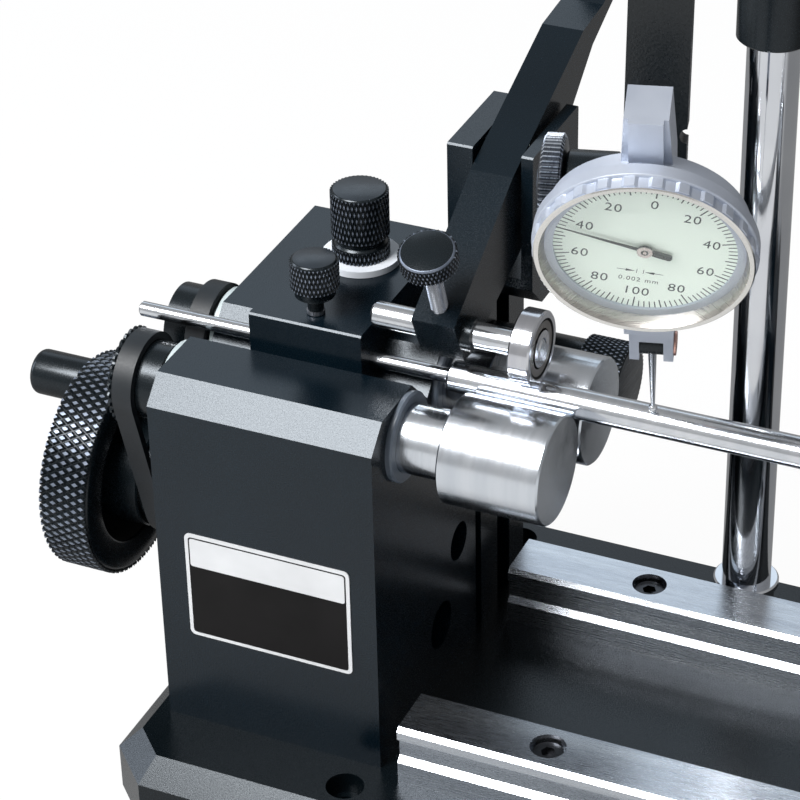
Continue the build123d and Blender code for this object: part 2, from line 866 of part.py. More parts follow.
# Knurled screw that clamps the spindle in the lever
with BuildPart() as lever_clamp_screw:
    screw_start = spindle_r + rest_gap
    screw_points = [
        (screw_start, 0),
        (screw_start, clamp_screw_r),
        (clamp_screw_reach, clamp_screw_r),
        (clamp_screw_reach, clamp_screw_head_r - edge_break),
        (clamp_screw_reach + edge_break, clamp_screw_head_r),
        (clamp_screw_reach + clamp_screw_head - edge_break, clamp_screw_head_r),
        (clamp_screw_reach + clamp_screw_head, clamp_screw_head_r - edge_break),
        (clamp_screw_reach + clamp_screw_head, 0),
    ]
    turned(screw_spin_plane, screw_points)

# Stop block with a keel that slides in the V groove
with BuildPart() as stop_block:
    keel_z = head_top - groove_half + keel_flat + slide_gap
    stop_outline = [
        (axis_y - block_front, head_top + block_height),
        (axis_y - block_front, head_top - groove_half + block_front + slide_gap),
        (axis_y - keel_flat, keel_z),
        (axis_y + keel_flat, keel_z),
        (axis_y + groove_half, head_top + slide_gap),
        (axis_y + block_back, head_top + slide_gap),
        (axis_y + block_back, head_top + block_height),
    ]
    plate(face_x(stop_left, 0, 0), stop_outline, block_length)
    back_edges = stop_block.edges().filter_by(Axis.Z).group_by(Axis.Y)[-1]
    fillet(back_edges, block_corner)
    front_edge = stop_block.edges().filter_by(Axis.X).group_by(Axis.Z)[-1].sort_by(Axis.Y)[0]
    chamfer(front_edge, edge_break)
    round_bar(face_x(stop_left, axis_y, shaft_z), stop_rod_r + running_gap, block_length, Mode.SUBTRACT)
    screw_depth = head_top + block_height - shaft_z
    screw_hole = face_z(rod_screw_x, axis_y, head_top + block_height)
    round_bar(screw_hole, rod_screw_r + running_gap, -screw_depth, Mode.SUBTRACT)
    with BuildSketch(face_z(knob_x + block_travel / 2, knob_y, head_top)) as stud_slot:
        SlotCenterToCenter(block_travel + overrun, 2 * (knob_stud_r + rest_gap))
    extrude(stud_slot.sketch, amount=block_height, mode=Mode.SUBTRACT)

# Stop rod that sets the end of the work
with BuildPart() as stop_rod:
    rod_end = shaft_left - rest_gap
    stop_plane = spin_x(rod_end - stop_rod_length, axis_y, shaft_z)
    turned(stop_plane, bar_points(0, stop_rod_length, stop_rod_r, edge_break))

# Thumb screw that clamps the stop rod
with BuildPart() as stop_rod_screw:
    block_top = head_top + block_height
    screw_foot = shaft_z + stop_rod_r + slide_gap - block_top
    thumb_points = [
        (screw_foot, 0),
        (screw_foot, rod_screw_r),
        (slide_gap, rod_screw_r),
        (slide_gap, rod_screw_ring_r),
        (slide_gap + rod_screw_ring, rod_screw_ring_r),
        (slide_gap + rod_screw_ring, rod_screw_r),
        (rod_screw_collar_rise, rod_screw_r),
        (rod_screw_collar_rise, rod_screw_collar_r - edge_break),
        (rod_screw_collar_rise + edge_break, rod_screw_collar_r),
        (rod_screw_head_rise - edge_break, rod_screw_collar_r),
        (rod_screw_head_rise, rod_screw_head_r - edge_break),
        (rod_screw_head_rise + edge_break, rod_screw_head_r),
        (rod_screw_top - edge_break, rod_screw_head_r),
        (rod_screw_top, rod_screw_head_r - edge_break),
        (rod_screw_top, 0),
    ]
    turned(spin_z(rod_screw_x, axis_y, block_top), thumb_points)

# Nylon washer under the stop block knob
with BuildPart() as stop_knob_washer:
    washer_plane = face_z(knob_x, knob_y, block_top + slide_gap)
    round_bar(washer_plane, knob_washer_r, knob_washer)
    round_bar(washer_plane, knob_stud_r + running_gap, knob_washer, Mode.SUBTRACT)

# Tall knurled knob that locks the stop block
with BuildPart() as stop_block_knob:
    knob_seat = slide_gap + knob_washer + slide_gap
    ring_top = knob_seat + knob_ring
    main_start = ring_top + knob_groove
    knob_points = [
        (-block_height - knob_stud_depth, 0),
        (-block_height - knob_stud_depth, knob_stud_r),
        (knob_seat, knob_stud_r),
        (knob_seat, knob_ring_r - edge_break),
        (knob_seat + edge_break, knob_ring_r),
        (ring_top, knob_ring_r),
        (ring_top + edge_break, knob_groove_r),
        (main_start - edge_break, knob_groove_r),
        (main_start, knob_r),
        (main_start + knob_height - edge_break, knob_r),
        (main_start + knob_height, knob_r - edge_break),
        (main_start + knob_height, 0),
    ]
    turned(spin_z(knob_x, knob_y, block_top), knob_points)

# Knurled lock knob on the right face of the headstock
with BuildPart() as headstock_lock_knob:
    lock_points = [
        (-lock_stud_depth, 0),
        (-lock_stud_depth, lock_stud_r),
        (rest_gap, lock_stud_r),
        (rest_gap, lock_barrel_r),
        (lock_barrel_length, lock_barrel_r),
        (lock_barrel_length, lock_head_r - edge_break),
        (lock_barrel_length + edge_break, lock_head_r),
        (lock_barrel_length + lock_head - edge_break, lock_head_r),
        (lock_barrel_length + lock_head, lock_head_r - edge_break),
        (lock_barrel_length + lock_head, 0),
    ]
    turned(spin_x(head_right, lock_y, lock_z), lock_points)


def make_rail(middle_y):
    """A profiled guide rail with waisted sides and counterbored screw holes."""
    half = rail_width / 2
    side = [
        (half, 0),
        (half, rail_foot),
        (half - rail_waist, rail_foot + rail_waist),
        (half - rail_waist, rail_height - rail_shoulder - rail_waist),
        (half, rail_height - rail_shoulder),
        (half, rail_height - rail_top_bevel),
        (half - rail_top_bevel, rail_height),
    ]
    other_side = [(-y, z) for y, z in reversed(side)]
    with BuildPart() as rail:
        plate(face_x(rail_left, middle_y, base_height), side + other_side, rail_length)
        for number in range(rail_screw_count):
            screw_x = rail_left + rail_screw_start + number * rail_screw_pitch
            hole_top = face_z(screw_x, middle_y, rail_top)
            round_bar(hole_top, rail_head_hole_r, -rail_head_hole_depth, Mode.SUBTRACT)
            round_bar(hole_top, rail_screw_r + running_gap, -rail_height, Mode.SUBTRACT)
    return rail


front_rail = make_rail(rail_y[0])
rear_rail = make_rail(rail_y[1])

# Socket screws that hold the rails
with BuildPart() as rail_screws:
    for screw_y in rail_y:
        for number in range(rail_screw_count):
            screw_x = rail_left + rail_screw_start + number * rail_screw_pitch
            seat = face_z(screw_x, screw_y, rail_top - rail_head_hole_depth)
            round_bar(seat, rail_screw_head_r, rail_screw_head)
            round_bar(seat, rail_screw_r, rail_head_hole_depth - rail_screw_depth)
            with BuildSketch(seat.offset(rail_screw_head)) as socket:
                RegularPolygon(rail_socket_width / 2, 6, major_radius=False)
            extrude(socket.sketch, amount=-rail_socket_depth, mode=Mode.SUBTRACT)

# All the screws of the frame as one piece
with BuildPart() as frame_screws:
    add(base_screws.part)
    add(rail_screws.part)

# Slide blocks of the steady, hollowed round the rails
with BuildPart() as slide_blocks:
    rail_room = rail_width + 2 * slider_side_gap
    for middle_y in rail_y:
        slider_middle = (slider_bottom + slider_top) / 2
        slider_z = slider_top - slider_bottom
        block(face_x(carriage_left, middle_y, slider_middle), slider_width, slider_z, carriage_length)
        room_z = rail_top + slider_side_gap - slider_bottom
        room_middle = slider_bottom + room_z / 2
        room_plane = face_x(carriage_left, middle_y, room_middle)
        block(room_plane, rail_room, room_z, carriage_length, Mode.SUBTRACT)
        for side in (-1, 1):
            ball_track = side * (rail_room / 2)
            track_plane = face_x(carriage_left, middle_y + ball_track, track_z)
            block(track_plane, 2 * track_depth, rail_waist, carriage_length)
    stud_plane = face_y(carriage_x, rail_y[0] - slider_width / 2, slider_middle)
    round_bar(stud_plane, carriage_stud_r + running_gap, carriage_stud + rest_gap, Mode.SUBTRACT)
    for screw_x, screw_y in saddle_screw_places:
        thread_top = face_z(screw_x, screw_y, slider_top)
        round_bar(thread_top, saddle_screw_r + running_gap, -saddle_screw_depth, Mode.SUBTRACT)

# Saddle plate across both slide blocks
saddle_width = rail_pitch + slider_width
saddle_y = (rail_y[0] + rail_y[1]) / 2
with BuildPart() as saddle_plate:
    block(face_z(carriage_x, saddle_y, slider_top), carriage_length, saddle_width, saddle_height)
    chamfer(saddle_plate.faces().sort_by(Axis.Z)[-1].edges(), saddle_bevel)
    for screw_x, screw_y in saddle_screw_places:
        screw_top = face_z(screw_x, screw_y, saddle_top)
        round_bar(screw_top, saddle_screw_r + running_gap, -saddle_height, Mode.SUBTRACT)
        head_room = saddle_screw_head + rest_gap
        round_bar(screw_top, saddle_screw_head_r + slide_gap, -head_room, Mode.SUBTRACT)

# Screws that hold the saddle plate on the slide blocks
with BuildPart() as saddle_screws:
    for screw_x, screw_y in saddle_screw_places:
        seat = face_z(screw_x, screw_y, saddle_top - saddle_screw_head - rest_gap)
        round_bar(seat, saddle_screw_head_r, saddle_screw_head)
        round_bar(seat, saddle_screw_r, -saddle_height)

# Upright bracket of the steady, hollowed over its rollers for the shaft
steady_left = carriage_x - steady_plate / 2
steady_z = shaft_z - sqrt((steady_r + shaft_r + touch_gap) ** 2 - steady_half_pitch**2)
with BuildPart() as steady_bracket:
    half_plate = steady_plate_width / 2
    plate_top = steady_z + steady_pin_head_r + steady_rim
    bracket_outline = [
        (axis_y - half_plate, saddle_top),
        (axis_y + half_plate, saddle_top),
        (axis_y + half_plate, plate_top),
        (axis_y - half_plate, plate_top),
    ]
    plate(face_x(steady_left, 0, 0), bracket_outline, steady_plate)
    top_corners = steady_bracket.edges().filter_by(Axis.X).group_by(Axis.Z)[-1]
    fillet(top_corners, block_corner)
    shaft_room = shaft_r + steady_room
    block(face_x(steady_left, axis_y, shaft_z), 2 * shaft_room, 2 * shaft_room, steady_plate, Mode.SUBTRACT)
    for side in (-1, 1):
        pin_hole = face_x(steady_left, axis_y + side * steady_half_pitch, steady_z)
        round_bar(pin_hole, steady_pin_r, steady_plate, Mode.SUBTRACT)

# Pins of the steady's rollers
with BuildPart() as steady_pins:
    for side in (-1, 1):
        pin_start = -steady_collar - steady_width - 2 * slide_gap - steady_pin_head
        pin_points = [
            (pin_start, 0),
            (pin_start, steady_pin_head_r),
            (pin_start + steady_pin_head, steady_pin_head_r),
            (pin_start + steady_pin_head, steady_pin_r),
            (-steady_collar, steady_pin_r),
            (-steady_collar, steady_pin_head_r),
            (0, steady_pin_head_r),
            (0, steady_pin_r),
            (steady_plate, steady_pin_r),
            (steady_plate, 0),
        ]
        turned(spin_x(steady_left, axis_y + side * steady_half_pitch, steady_z), pin_points)


def make_steady_roller(side):
    """A roller bearing of the steady, with its bore and eased rims."""
    right = -steady_collar - slide_gap
    left = right - steady_width
    points = [
        (left, steady_pin_r + running_gap),
        (left, steady_r - edge_break),
        (left + edge_break, steady_r),
        (right - edge_break, steady_r),
        (right, steady_r - edge_break),
        (right, steady_pin_r + running_gap),
    ]
    with BuildPart() as steady_roller:
        turned(spin_x(steady_left, axis_y + side * steady_half_pitch, steady_z), points)
    return steady_roller


steady_roller_front = make_steady_roller(-1)
steady_roller_rear = make_steady_roller(1)

# Knob that locks the steady on the front rail
with BuildPart() as carriage_lock_knob:
    slider_face = rail_y[0] - slider_width / 2
    carriage_points = [
        (carriage_stud, 0),
        (carriage_stud, carriage_stud_r),
        (-carriage_stud / 2, carriage_stud_r),
        (-carriage_stud / 2, carriage_knob_r - edge_break),
        (-carriage_stud / 2 - edge_break, carriage_knob_r),
        (edge_break - carriage_stud / 2 - carriage_knob, carriage_knob_r),
        (-carriage_stud / 2 - carriage_knob, carriage_knob_r - edge_break),
        (-carriage_stud / 2 - carriage_knob, 0),
    ]
    turned(spin_y(carriage_x, slider_face, slider_middle), carriage_points)

# Post with its foot and washer
with BuildPart() as post:
    post_length = post_top - base_height
    turned(spin_z(post_x, post_y, base_height), bar_points(0, post_length, post_r, edge_break * 2))
    post_thread = face_z(post_x, post_y, base_height)
    round_bar(post_thread, base_screw_r + running_gap, base_screw_depth + rest_gap, Mode.SUBTRACT)
with BuildPart() as post_foot:
    foot_seat = face_z(post_x, post_y, base_height)
    round_bar(foot_seat, post_foot_r, post_foot_height)
    round_bar(foot_seat, post_r, post_foot_height, Mode.SUBTRACT)
with BuildPart() as post_washer:
    washer_seat = face_z(post_x, post_y, base_height + post_foot_height)
    round_bar(washer_seat, post_washer_r, post_washer_height)
    round_bar(washer_seat, post_r, post_washer_height, Mode.SUBTRACT)
    chamfer(post_washer.faces().sort_by(Axis.Z)[-1].edges().sort_by(SortBy.LENGTH)[-1], edge_break)

# Sleeve that slides on the post and carries the cross clamp
with BuildPart() as post_sleeve:
    sleeve_plane = face_z(post_x, post_y, sleeve_top - sleeve_length)
    round_bar(sleeve_plane, sleeve_r, sleeve_length)
    chamfer(post_sleeve.edges().filter_by(GeomType.CIRCLE), edge_break)
    round_bar(sleeve_plane, post_r + running_gap, sleeve_length, Mode.SUBTRACT)
    round_bar(sleeve_knob_plane, stand_stud_r + running_gap, sleeve_r, Mode.SUBTRACT)


def stand_knob_points(start, seat):
    """The outline of a clamp knob with its stud, from the stud's inner end to the head."""
    return [
        (start, 0),
        (start, stand_stud_r),
        (seat, stand_stud_r),
        (seat, stand_knob_r - edge_break),
        (seat + edge_break, stand_knob_r),
        (seat + stand_knob - edge_break, stand_knob_r),
        (seat + stand_knob, stand_knob_r - edge_break),
        (seat + stand_knob, 0),
    ]


# Knob that locks the sleeve on the post
with BuildPart() as sleeve_lock_knob:
    turned(sleeve_spin_plane, stand_knob_points(post_r + rest_gap, sleeve_r + stand_stud / 2))

# Cross clamp that swivels on the post and holds the arm
with BuildPart() as cross_clamp:
    clamp_plane = Plane(origin=(post_x, post_y, clamp_bottom), x_dir=across, z_dir=(0, 0, 1))
    with BuildSketch(clamp_plane) as clamp_outline:
        with Locations((-arm_offset / 2, 0)):
            SlotCenterToCenter(arm_offset, 2 * cross_clamp_r)
    extrude(clamp_outline.sketch, amount=cross_clamp_height)
    chamfer(cross_clamp.faces().filter_by(Axis.Z).edges(), edge_break)
    round_bar(clamp_plane, post_r + running_gap, cross_clamp_height, Mode.SUBTRACT)
    arm_middle = post_middle - across * arm_offset
    arm_bore = Plane(origin=arm_middle + forward * cross_clamp_r * 2, x_dir=across, z_dir=-forward)
    round_bar(arm_bore, arm_r + running_gap, cross_clamp_r * 4, Mode.SUBTRACT)
    round_bar(clamp_knob_plane, stand_stud_r + running_gap, cross_clamp_r, Mode.SUBTRACT)

# Knob that tightens the cross clamp
with BuildPart() as cross_clamp_knob:
    turned(clamp_spin_plane, stand_knob_points(post_r + rest_gap, cross_clamp_r + stand_stud / 2))

# Arm rod from the cross clamp to the holder bar's eye
with BuildPart() as arm_rod:
    arm_spin = Plane(origin=eye, x_dir=-forward, z_dir=across)
    turned(arm_spin, bar_points(-arm_front, arm_back, arm_r, edge_break))

# Holder bar with its eye, its knuckle and the flat boss near the knuckle
with BuildPart() as holder_bar:
    bar_plane = Plane(origin=holder_axis, x_dir=across, z_dir=bar_out)
    bar_middle = Plane(origin=holder_axis + bar_up * bar_length / 2, x_dir=across, z_dir=bar_out)
    block(bar_middle.offset(-bar_thickness / 2), bar_width, bar_length, bar_thickness)
    knuckle = Plane(origin=holder_axis - across * bar_width / 2, x_dir=bar_up, z_dir=across)
    round_bar(knuckle, bar_knuckle_r, bar_width)
    eye_plane = Plane(origin=eye + forward * eye_length / 2, x_dir=across, z_dir=-forward)
    round_bar(eye_plane, eye_r, eye_length)
    round_bar(eye_plane, arm_r + running_gap, eye_length, Mode.SUBTRACT)
    boss_middle = holder_axis + bar_up * bar_boss_rise
    boss_plane = Plane(origin=boss_middle, x_dir=across, z_dir=bar_out).offset(bar_thickness / 2)
    round_bar(boss_plane, bar_boss_r, bar_boss)
    notch_middle = boss_middle + across * bar_width / 2
    notch_plane = Plane(origin=notch_middle, x_dir=across, z_dir=bar_out).offset(-bar_thickness)
    round_bar(notch_plane, bar_notch_r, 2 * bar_thickness, Mode.SUBTRACT)
    round_bar(knuckle, axle_r + running_gap, bar_width, Mode.SUBTRACT)

# Clamp between the bar's knuckle and the indicator's body
sleeve_right = -bar_width / 2 - rest_gap
sleeve_left = sleeve_right - clamp_sleeve_length
with BuildPart() as holder_clamp:
    sleeve_plane = across_plane(sleeve_left, holder_rise, -holder_back)
    round_bar(sleeve_plane, clamp_sleeve_r, clamp_sleeve_length)
    chamfer(holder_clamp.edges().filter_by(GeomType.CIRCLE), clamp_sleeve_chamfer)
    axle_length = clamp_sleeve_length + bar_width + 2 * rest_gap
    round_bar(sleeve_plane, axle_r, axle_length)
    collar_plane = across_plane(-sleeve_right, holder_rise, -holder_back)
    round_bar(collar_plane, clamp_collar_r, clamp_collar)
    jaw_reach = -sleeve_right - body_half
    jaw_out = -body_back + jaw_depth / 2
    for jaw_start in (sleeve_right, body_half):
        block(across_plane(jaw_start, holder_rise, jaw_out), 2 * jaw_half, jaw_depth, jaw_reach)
    round_bar(sleeve_plane, axle_r + running_gap, clamp_sleeve_length / 2 + rest_gap, Mode.SUBTRACT)

# Knurled wheel that tightens the clamp
with BuildPart() as clamp_wheel:
    wheel_plane = across_plane(sleeve_left - slide_gap, holder_rise, -holder_back)
    round_bar(wheel_plane, clamp_wheel_r, -clamp_wheel_width)
    chamfer(clamp_wheel.edges().filter_by(GeomType.CIRCLE), edge_break * 2)
    round_bar(wheel_plane, axle_r, clamp_sleeve_length / 2)

# Body of the indicator with its prongs, case and the spigot for the bezel
with BuildPart() as indicator_body:
    right_side = [(body_half, prong_top), (body_half, body_taper_start), (body_top_half, body_top)]
    left_side = [(-a, b) for a, b in reversed(right_side)]
    plate(dial_plane(0, 0, -body_back), right_side + left_side, body_back + body_front - body_step)
    rib_rise = (body_top + dial_rise) / 2
    block(dial_plane(0, rib_rise, body_front - body_step), 2 * rib_half, body_top - dial_rise, body_step)
    prong_rise = (prong_bottom + prong_top) / 2
    prong_plane = dial_plane(0, prong_rise, -prong_depth)
    block(prong_plane, 2 * prong_half, prong_top - prong_bottom, 2 * prong_depth)
    slot_height = carrier_rise + carrier_r + rest_gap
    slot_width = carrier_width + 2 * running_gap
    slot_plane = dial_plane(0, slot_height / 2, -body_front)
    block(slot_plane, slot_width, slot_height, 2 * body_front, Mode.SUBTRACT)
    pin_hole = across_plane(-prong_half, carrier_rise, 0)
    round_bar(pin_hole, carrier_pin_r + running_gap, 2 * prong_half, Mode.SUBTRACT)
    case_plane = dial_plane(0, dial_rise, case_back)
    round_bar(case_plane, case_r, dial_front - bezel_back - rest_gap - case_back)
    round_bar(case_plane, spigot_r, dial_front - dial_thickness - slide_gap - case_back)
    round_bar(case_plane, pointer_shaft_r + running_gap, dial_front, Mode.SUBTRACT)

# Bezel with its grip band and raised lip
with BuildPart() as dial_bezel:
    bezel_points = [
        (-bezel_back, spigot_r + running_gap),
        (-bezel_back, bezel_r),
        (bezel_band, bezel_r),
        (bezel_band, bezel_grip_r),
        (bezel_height - edge_break, bezel_grip_r),
        (bezel_height, bezel_lip_r),
        (bezel_height, dial_r),
        (-dial_thickness, dial_r),
        (-dial_thickness, spigot_r + running_gap),
    ]
    turned(dial_spin_plane, bezel_points)

# Dial face and crystal, held in the bezel
with BuildPart() as dial_face:
    dial_back_plane = dial_plane(0, dial_rise, dial_front - dial_thickness)
    round_bar(dial_back_plane, dial_r, dial_thickness)
    round_bar(dial_back_plane, dial_hole_r, dial_thickness, Mode.SUBTRACT)
with BuildPart() as crystal:
    round_bar(dial_plane(0, dial_rise, dial_front + crystal_back), dial_r, crystal_thickness)

# Pointer with its tail, hub and shaft
with BuildPart() as dial_pointer:
    heading = radians(pointer_heading)
    pointer_x = across * cos(heading) + upward * sin(heading)
    pointer_foot = ball + upward * dial_rise + outward * (dial_front + pointer_lift)
    pointer_plane = Plane(origin=pointer_foot, x_dir=pointer_x, z_dir=outward)
    pointer_outline = [
        (pointer_length, 0),
        (0, pointer_half),
        (-pointer_hub_r, pointer_tail_half),
        (-pointer_tail, pointer_tail_half),
        (-pointer_tail, -pointer_tail_half),
        (-pointer_hub_r, -pointer_tail_half),
        (0, -pointer_half),
    ]
    plate(pointer_plane, pointer_outline, pointer_thickness)
    round_bar(pointer_plane, pointer_hub_r, pointer_thickness * 2)
    round_bar(pointer_plane, pointer_shaft_r, -pointer_lift - dial_front + body_front)

# Pin that swings in the prongs, and the carrier that swivels on it with the stylus
with BuildPart() as carrier_pin:
    round_bar(across_plane(-prong_half, carrier_rise, 0), carrier_pin_r, 2 * prong_half)
with BuildPart() as stylus_carrier:
    carrier_end = across_plane(-carrier_width / 2, carrier_rise, 0)
    round_bar(carrier_end, carrier_r, carrier_width)
    round_bar(carrier_end, carrier_pin_r + running_gap, carrier_width, Mode.SUBTRACT)
    carrier_face = Plane(origin=ball + upward * stylus_length, x_dir=across, z_dir=upward)
    round_bar(carrier_face, stylus_root_r + running_gap, carrier_r, Mode.SUBTRACT)

# Stylus with its contact ball
with BuildPart() as stylus:
    stylus_plane = Plane(origin=ball, x_dir=upward, z_dir=outward)
    neck = sqrt(ball_r**2 - stylus_tip_r**2)
    with BuildSketch(stylus_plane) as stylus_outline:
        with BuildLine():
            ThreePointArc((-ball_r, 0), (0, ball_r), (neck, stylus_tip_r))
            Polyline(
                (neck, stylus_tip_r),
                (stylus_length, stylus_root_r),
                (stylus_end, stylus_root_r),
                (stylus_end, 0),
                (-ball_r, 0),
            )
        make_face()
    revolve(stylus_outline.sketch, axis=Axis(stylus_plane.origin, stylus_plane.x_dir))

pieces = {
    "base_plate": base_plate,
    "frame_screws": frame_screws,
    "headstock_body": headstock_body,
    "roller_bushes": roller_bushes,
    "front_roller": front_roller,
    "rear_roller": rear_roller,
    "front_pulley": front_pulley,
    "rear_pulley": rear_pulley,
    "front_belt": front_belt,
    "rear_belt": rear_belt,
    "drive_pulley": drive_pulley,
    "handwheel": handwheel,
    "handwheel_shaft": handwheel_shaft,
    "handwheel_screw": handwheel_screw,
    "crank_handle": crank_handle,
    "handle_pin": handle_pin,
    "test_shaft": test_shaft,
    "fork_block": fork_block,
    "lever_pivot_pin": lever_pivot_pin,
    "lever": lever,
    "spindle_bush": spindle_bush,
    "pressure_spindle": pressure_spindle,
    "bearing_inner_ring": bearing_inner_ring,
    "bearing_outer_ring": bearing_outer_ring,
    "lever_clamp_screw": lever_clamp_screw,
    "stop_block": stop_block,
    "stop_rod": stop_rod,
    "stop_rod_screw": stop_rod_screw,
    "stop_knob_washer": stop_knob_washer,
    "stop_block_knob": stop_block_knob,
    "headstock_lock_knob": headstock_lock_knob,
    "front_rail": front_rail,
    "rear_rail": rear_rail,
    "slide_blocks": slide_blocks,
    "saddle_plate": saddle_plate,
    "saddle_screws": saddle_screws,
    "steady_bracket": steady_bracket,
    "steady_pins": steady_pins,
    "steady_roller_front": steady_roller_front,
    "steady_roller_rear": steady_roller_rear,
    "carriage_lock_knob": carriage_lock_knob,
    "post": post,
    "post_foot": post_foot,
    "post_washer": post_washer,
    "post_sleeve": post_sleeve,
    "sleeve_lock_knob": sleeve_lock_knob,
    "cross_clamp": cross_clamp,
    "cross_clamp_knob": cross_clamp_knob,
    "arm_rod": arm_rod,
    "holder_bar": holder_bar,
    "holder_clamp": holder_clamp,
    "clamp_wheel": clamp_wheel,
    "indicator_body": indicator_body,
    "dial_bezel": dial_bezel,
    "dial_face": dial_face,
    "crystal": crystal,
    "dial_pointer": dial_pointer,
    "carrier_pin": carrier_pin,
    "stylus_carrier": stylus_carrier,
    "stylus": stylus,
}
os.makedirs("parts", exist_ok=True)
for name, piece in pieces.items():
    piece.part.label = name
    export_step(piece.part, f"parts/{name}.step")
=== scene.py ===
import json
from math import cos, pi, radians, sin

import bmesh
import bpy
from mathutils import Euler, Matrix, Vector


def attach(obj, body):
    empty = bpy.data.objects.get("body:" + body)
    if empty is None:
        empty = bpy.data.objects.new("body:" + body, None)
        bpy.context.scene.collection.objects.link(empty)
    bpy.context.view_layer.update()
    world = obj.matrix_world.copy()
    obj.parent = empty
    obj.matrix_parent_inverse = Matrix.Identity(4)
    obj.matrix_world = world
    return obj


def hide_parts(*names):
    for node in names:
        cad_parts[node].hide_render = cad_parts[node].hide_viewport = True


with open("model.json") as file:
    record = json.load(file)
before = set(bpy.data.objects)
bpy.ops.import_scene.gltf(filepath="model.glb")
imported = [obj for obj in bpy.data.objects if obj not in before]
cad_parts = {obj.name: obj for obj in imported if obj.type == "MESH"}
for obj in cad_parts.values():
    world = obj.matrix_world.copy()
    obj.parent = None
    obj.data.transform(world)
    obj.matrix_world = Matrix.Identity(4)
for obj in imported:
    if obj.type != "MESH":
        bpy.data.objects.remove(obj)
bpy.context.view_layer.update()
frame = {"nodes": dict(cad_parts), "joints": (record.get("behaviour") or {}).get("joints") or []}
nodes = frame["nodes"]
joints = {joint["name"]: joint for joint in frame["joints"]}
MM = 0.001
RIGHT, UP = Vector((1, 0, 0)), Vector((0, 0, 1))


def place(name):
    """Where a joint of the frame is, in metres."""
    return Vector(joints[name]["pos_m"])


def heading(name):
    """The way a joint of the frame turns about or slides along."""
    return Vector(joints[name]["axis"]).normalized()


def reach(node, origin, way):
    """The least and greatest distance in millimetres of a CAD node along a direction."""
    found = [(vertex.co - origin).dot(way) / MM for vertex in nodes[node].data.vertices]
    return min(found), max(found)


def spread(tree, source, start, end, low, high):
    """A value that goes from low to high as the source goes from start to end."""
    made = tree.nodes.new("ShaderNodeMapRange")
    for socket, value in zip(("From Min", "From Max", "To Min", "To Max"), (start, end, low, high)):
        made.inputs[socket].default_value = value
    tree.links.new(source, made.inputs["Value"])
    return made.outputs[0]


# Materials
class Finish:
    """A procedural material built around one Principled shader, in metres of object space."""

    def __init__(self, name, **sockets):
        self.made = bpy.data.materials.new(name)
        self.made.use_nodes = True
        self.tree = self.made.node_tree
        self.tree.nodes.clear()
        output = self.tree.nodes.new("ShaderNodeOutputMaterial")
        self.shader = self.tree.nodes.new("ShaderNodeBsdfPrincipled")
        self.tree.links.new(self.shader.outputs[0], output.inputs[0])
        self.where = self.tree.nodes.new("ShaderNodeTexCoord").outputs["Object"]
        for key, value in sockets.items():
            self.shader.inputs[key.replace("_", " ")].default_value = value

    def link(self, source, socket):
        self.tree.links.new(source, self.shader.inputs[socket])

    def noise(self, size, stretch=(1, 1, 1), turn=(0, 0, 0), detail=2.0, rough=0.5):
        """Noise whose grains are size metres, made longer along an axis by a stretch below one."""
        mapping = self.tree.nodes.new("ShaderNodeMapping")
        mapping.inputs["Scale"].default_value = [part / size for part in stretch]
        mapping.inputs["Rotation"].default_value = turn
        self.tree.links.new(self.where, mapping.inputs["Vector"])
        made = self.tree.nodes.new("ShaderNodeTexNoise")
        made.inputs["Scale"].default_value = 1.0
        made.inputs["Detail"].default_value = detail
        made.inputs["Roughness"].default_value = rough
        self.tree.links.new(mapping.outputs[0], made.inputs["Vector"])
        return made.outputs["Fac"]

    def cells(self, size):
        """Round cells of a size in metres, for a cast or crinkled skin."""
        made = self.tree.nodes.new("ShaderNodeTexVoronoi")
        made.inputs["Scale"].default_value = 1 / size
        self.tree.links.new(self.where, made.inputs["Vector"])
        return made.outputs["Distance"]

    def colour(self, source, dark, light, start=0.3, end=0.7):
        """A base colour that goes from dark to light as the source goes from start to end."""
        made = self.tree.nodes.new("ShaderNodeValToRGB")
        for element, position, shade in zip(made.color_ramp.elements, (start, end), (dark, light)):
            element.position = position
            element.color = (*shade, 1)
        self.tree.links.new(source, made.inputs[0])
        self.link(made.outputs[0], "Base Color")

    def roughness(self, source, low, high):
        """A roughness that goes from low to high over the middle of the source's range."""
        self.link(spread(self.tree, source, 0.3, 0.7, low, high), "Roughness")

    def bump(self, source, height, strength=1.0, under=None):
        """Relief of a height in metres from the source."""
        made = self.tree.nodes.new("ShaderNodeBump")
        made.inputs["Distance"].default_value = height
        made.inputs["Strength"].default_value = strength
        self.tree.links.new(source, made.inputs["Height"])
        if under is not None:
            self.tree.links.new(under, made.inputs["Normal"])
        self.link(made.outputs[0], "Normal")
        return made.outputs[0]

    def radial(self, axis):
        """Grain that runs round an axis through the piece's middle."""
        made = self.tree.nodes.new("ShaderNodeTangent")
        made.direction_type = "RADIAL"
        made.axis = axis
        self.link(made.outputs[0], "Tangent")


def anodised(name, dark, light, rough, speckle=0.000012, patch=0.03, metallic=0.0):
    """Bead blasted and anodised aluminium: fine speckle, with slow changes of tone."""
    grain, smoother, rougher = 0.00028, 0.07, 0.09
    made = Finish(name, Metallic=metallic, IOR=1.43, Specular_Tint=(0.86, 0.93, 1.0, 1))
    fine = made.noise(grain, detail=3.0, rough=0.65)
    made.colour(made.noise(patch), dark, light)
    made.roughness(fine, rough - smoother, rough + rougher)
    made.bump(fine, speckle)
    return made.made


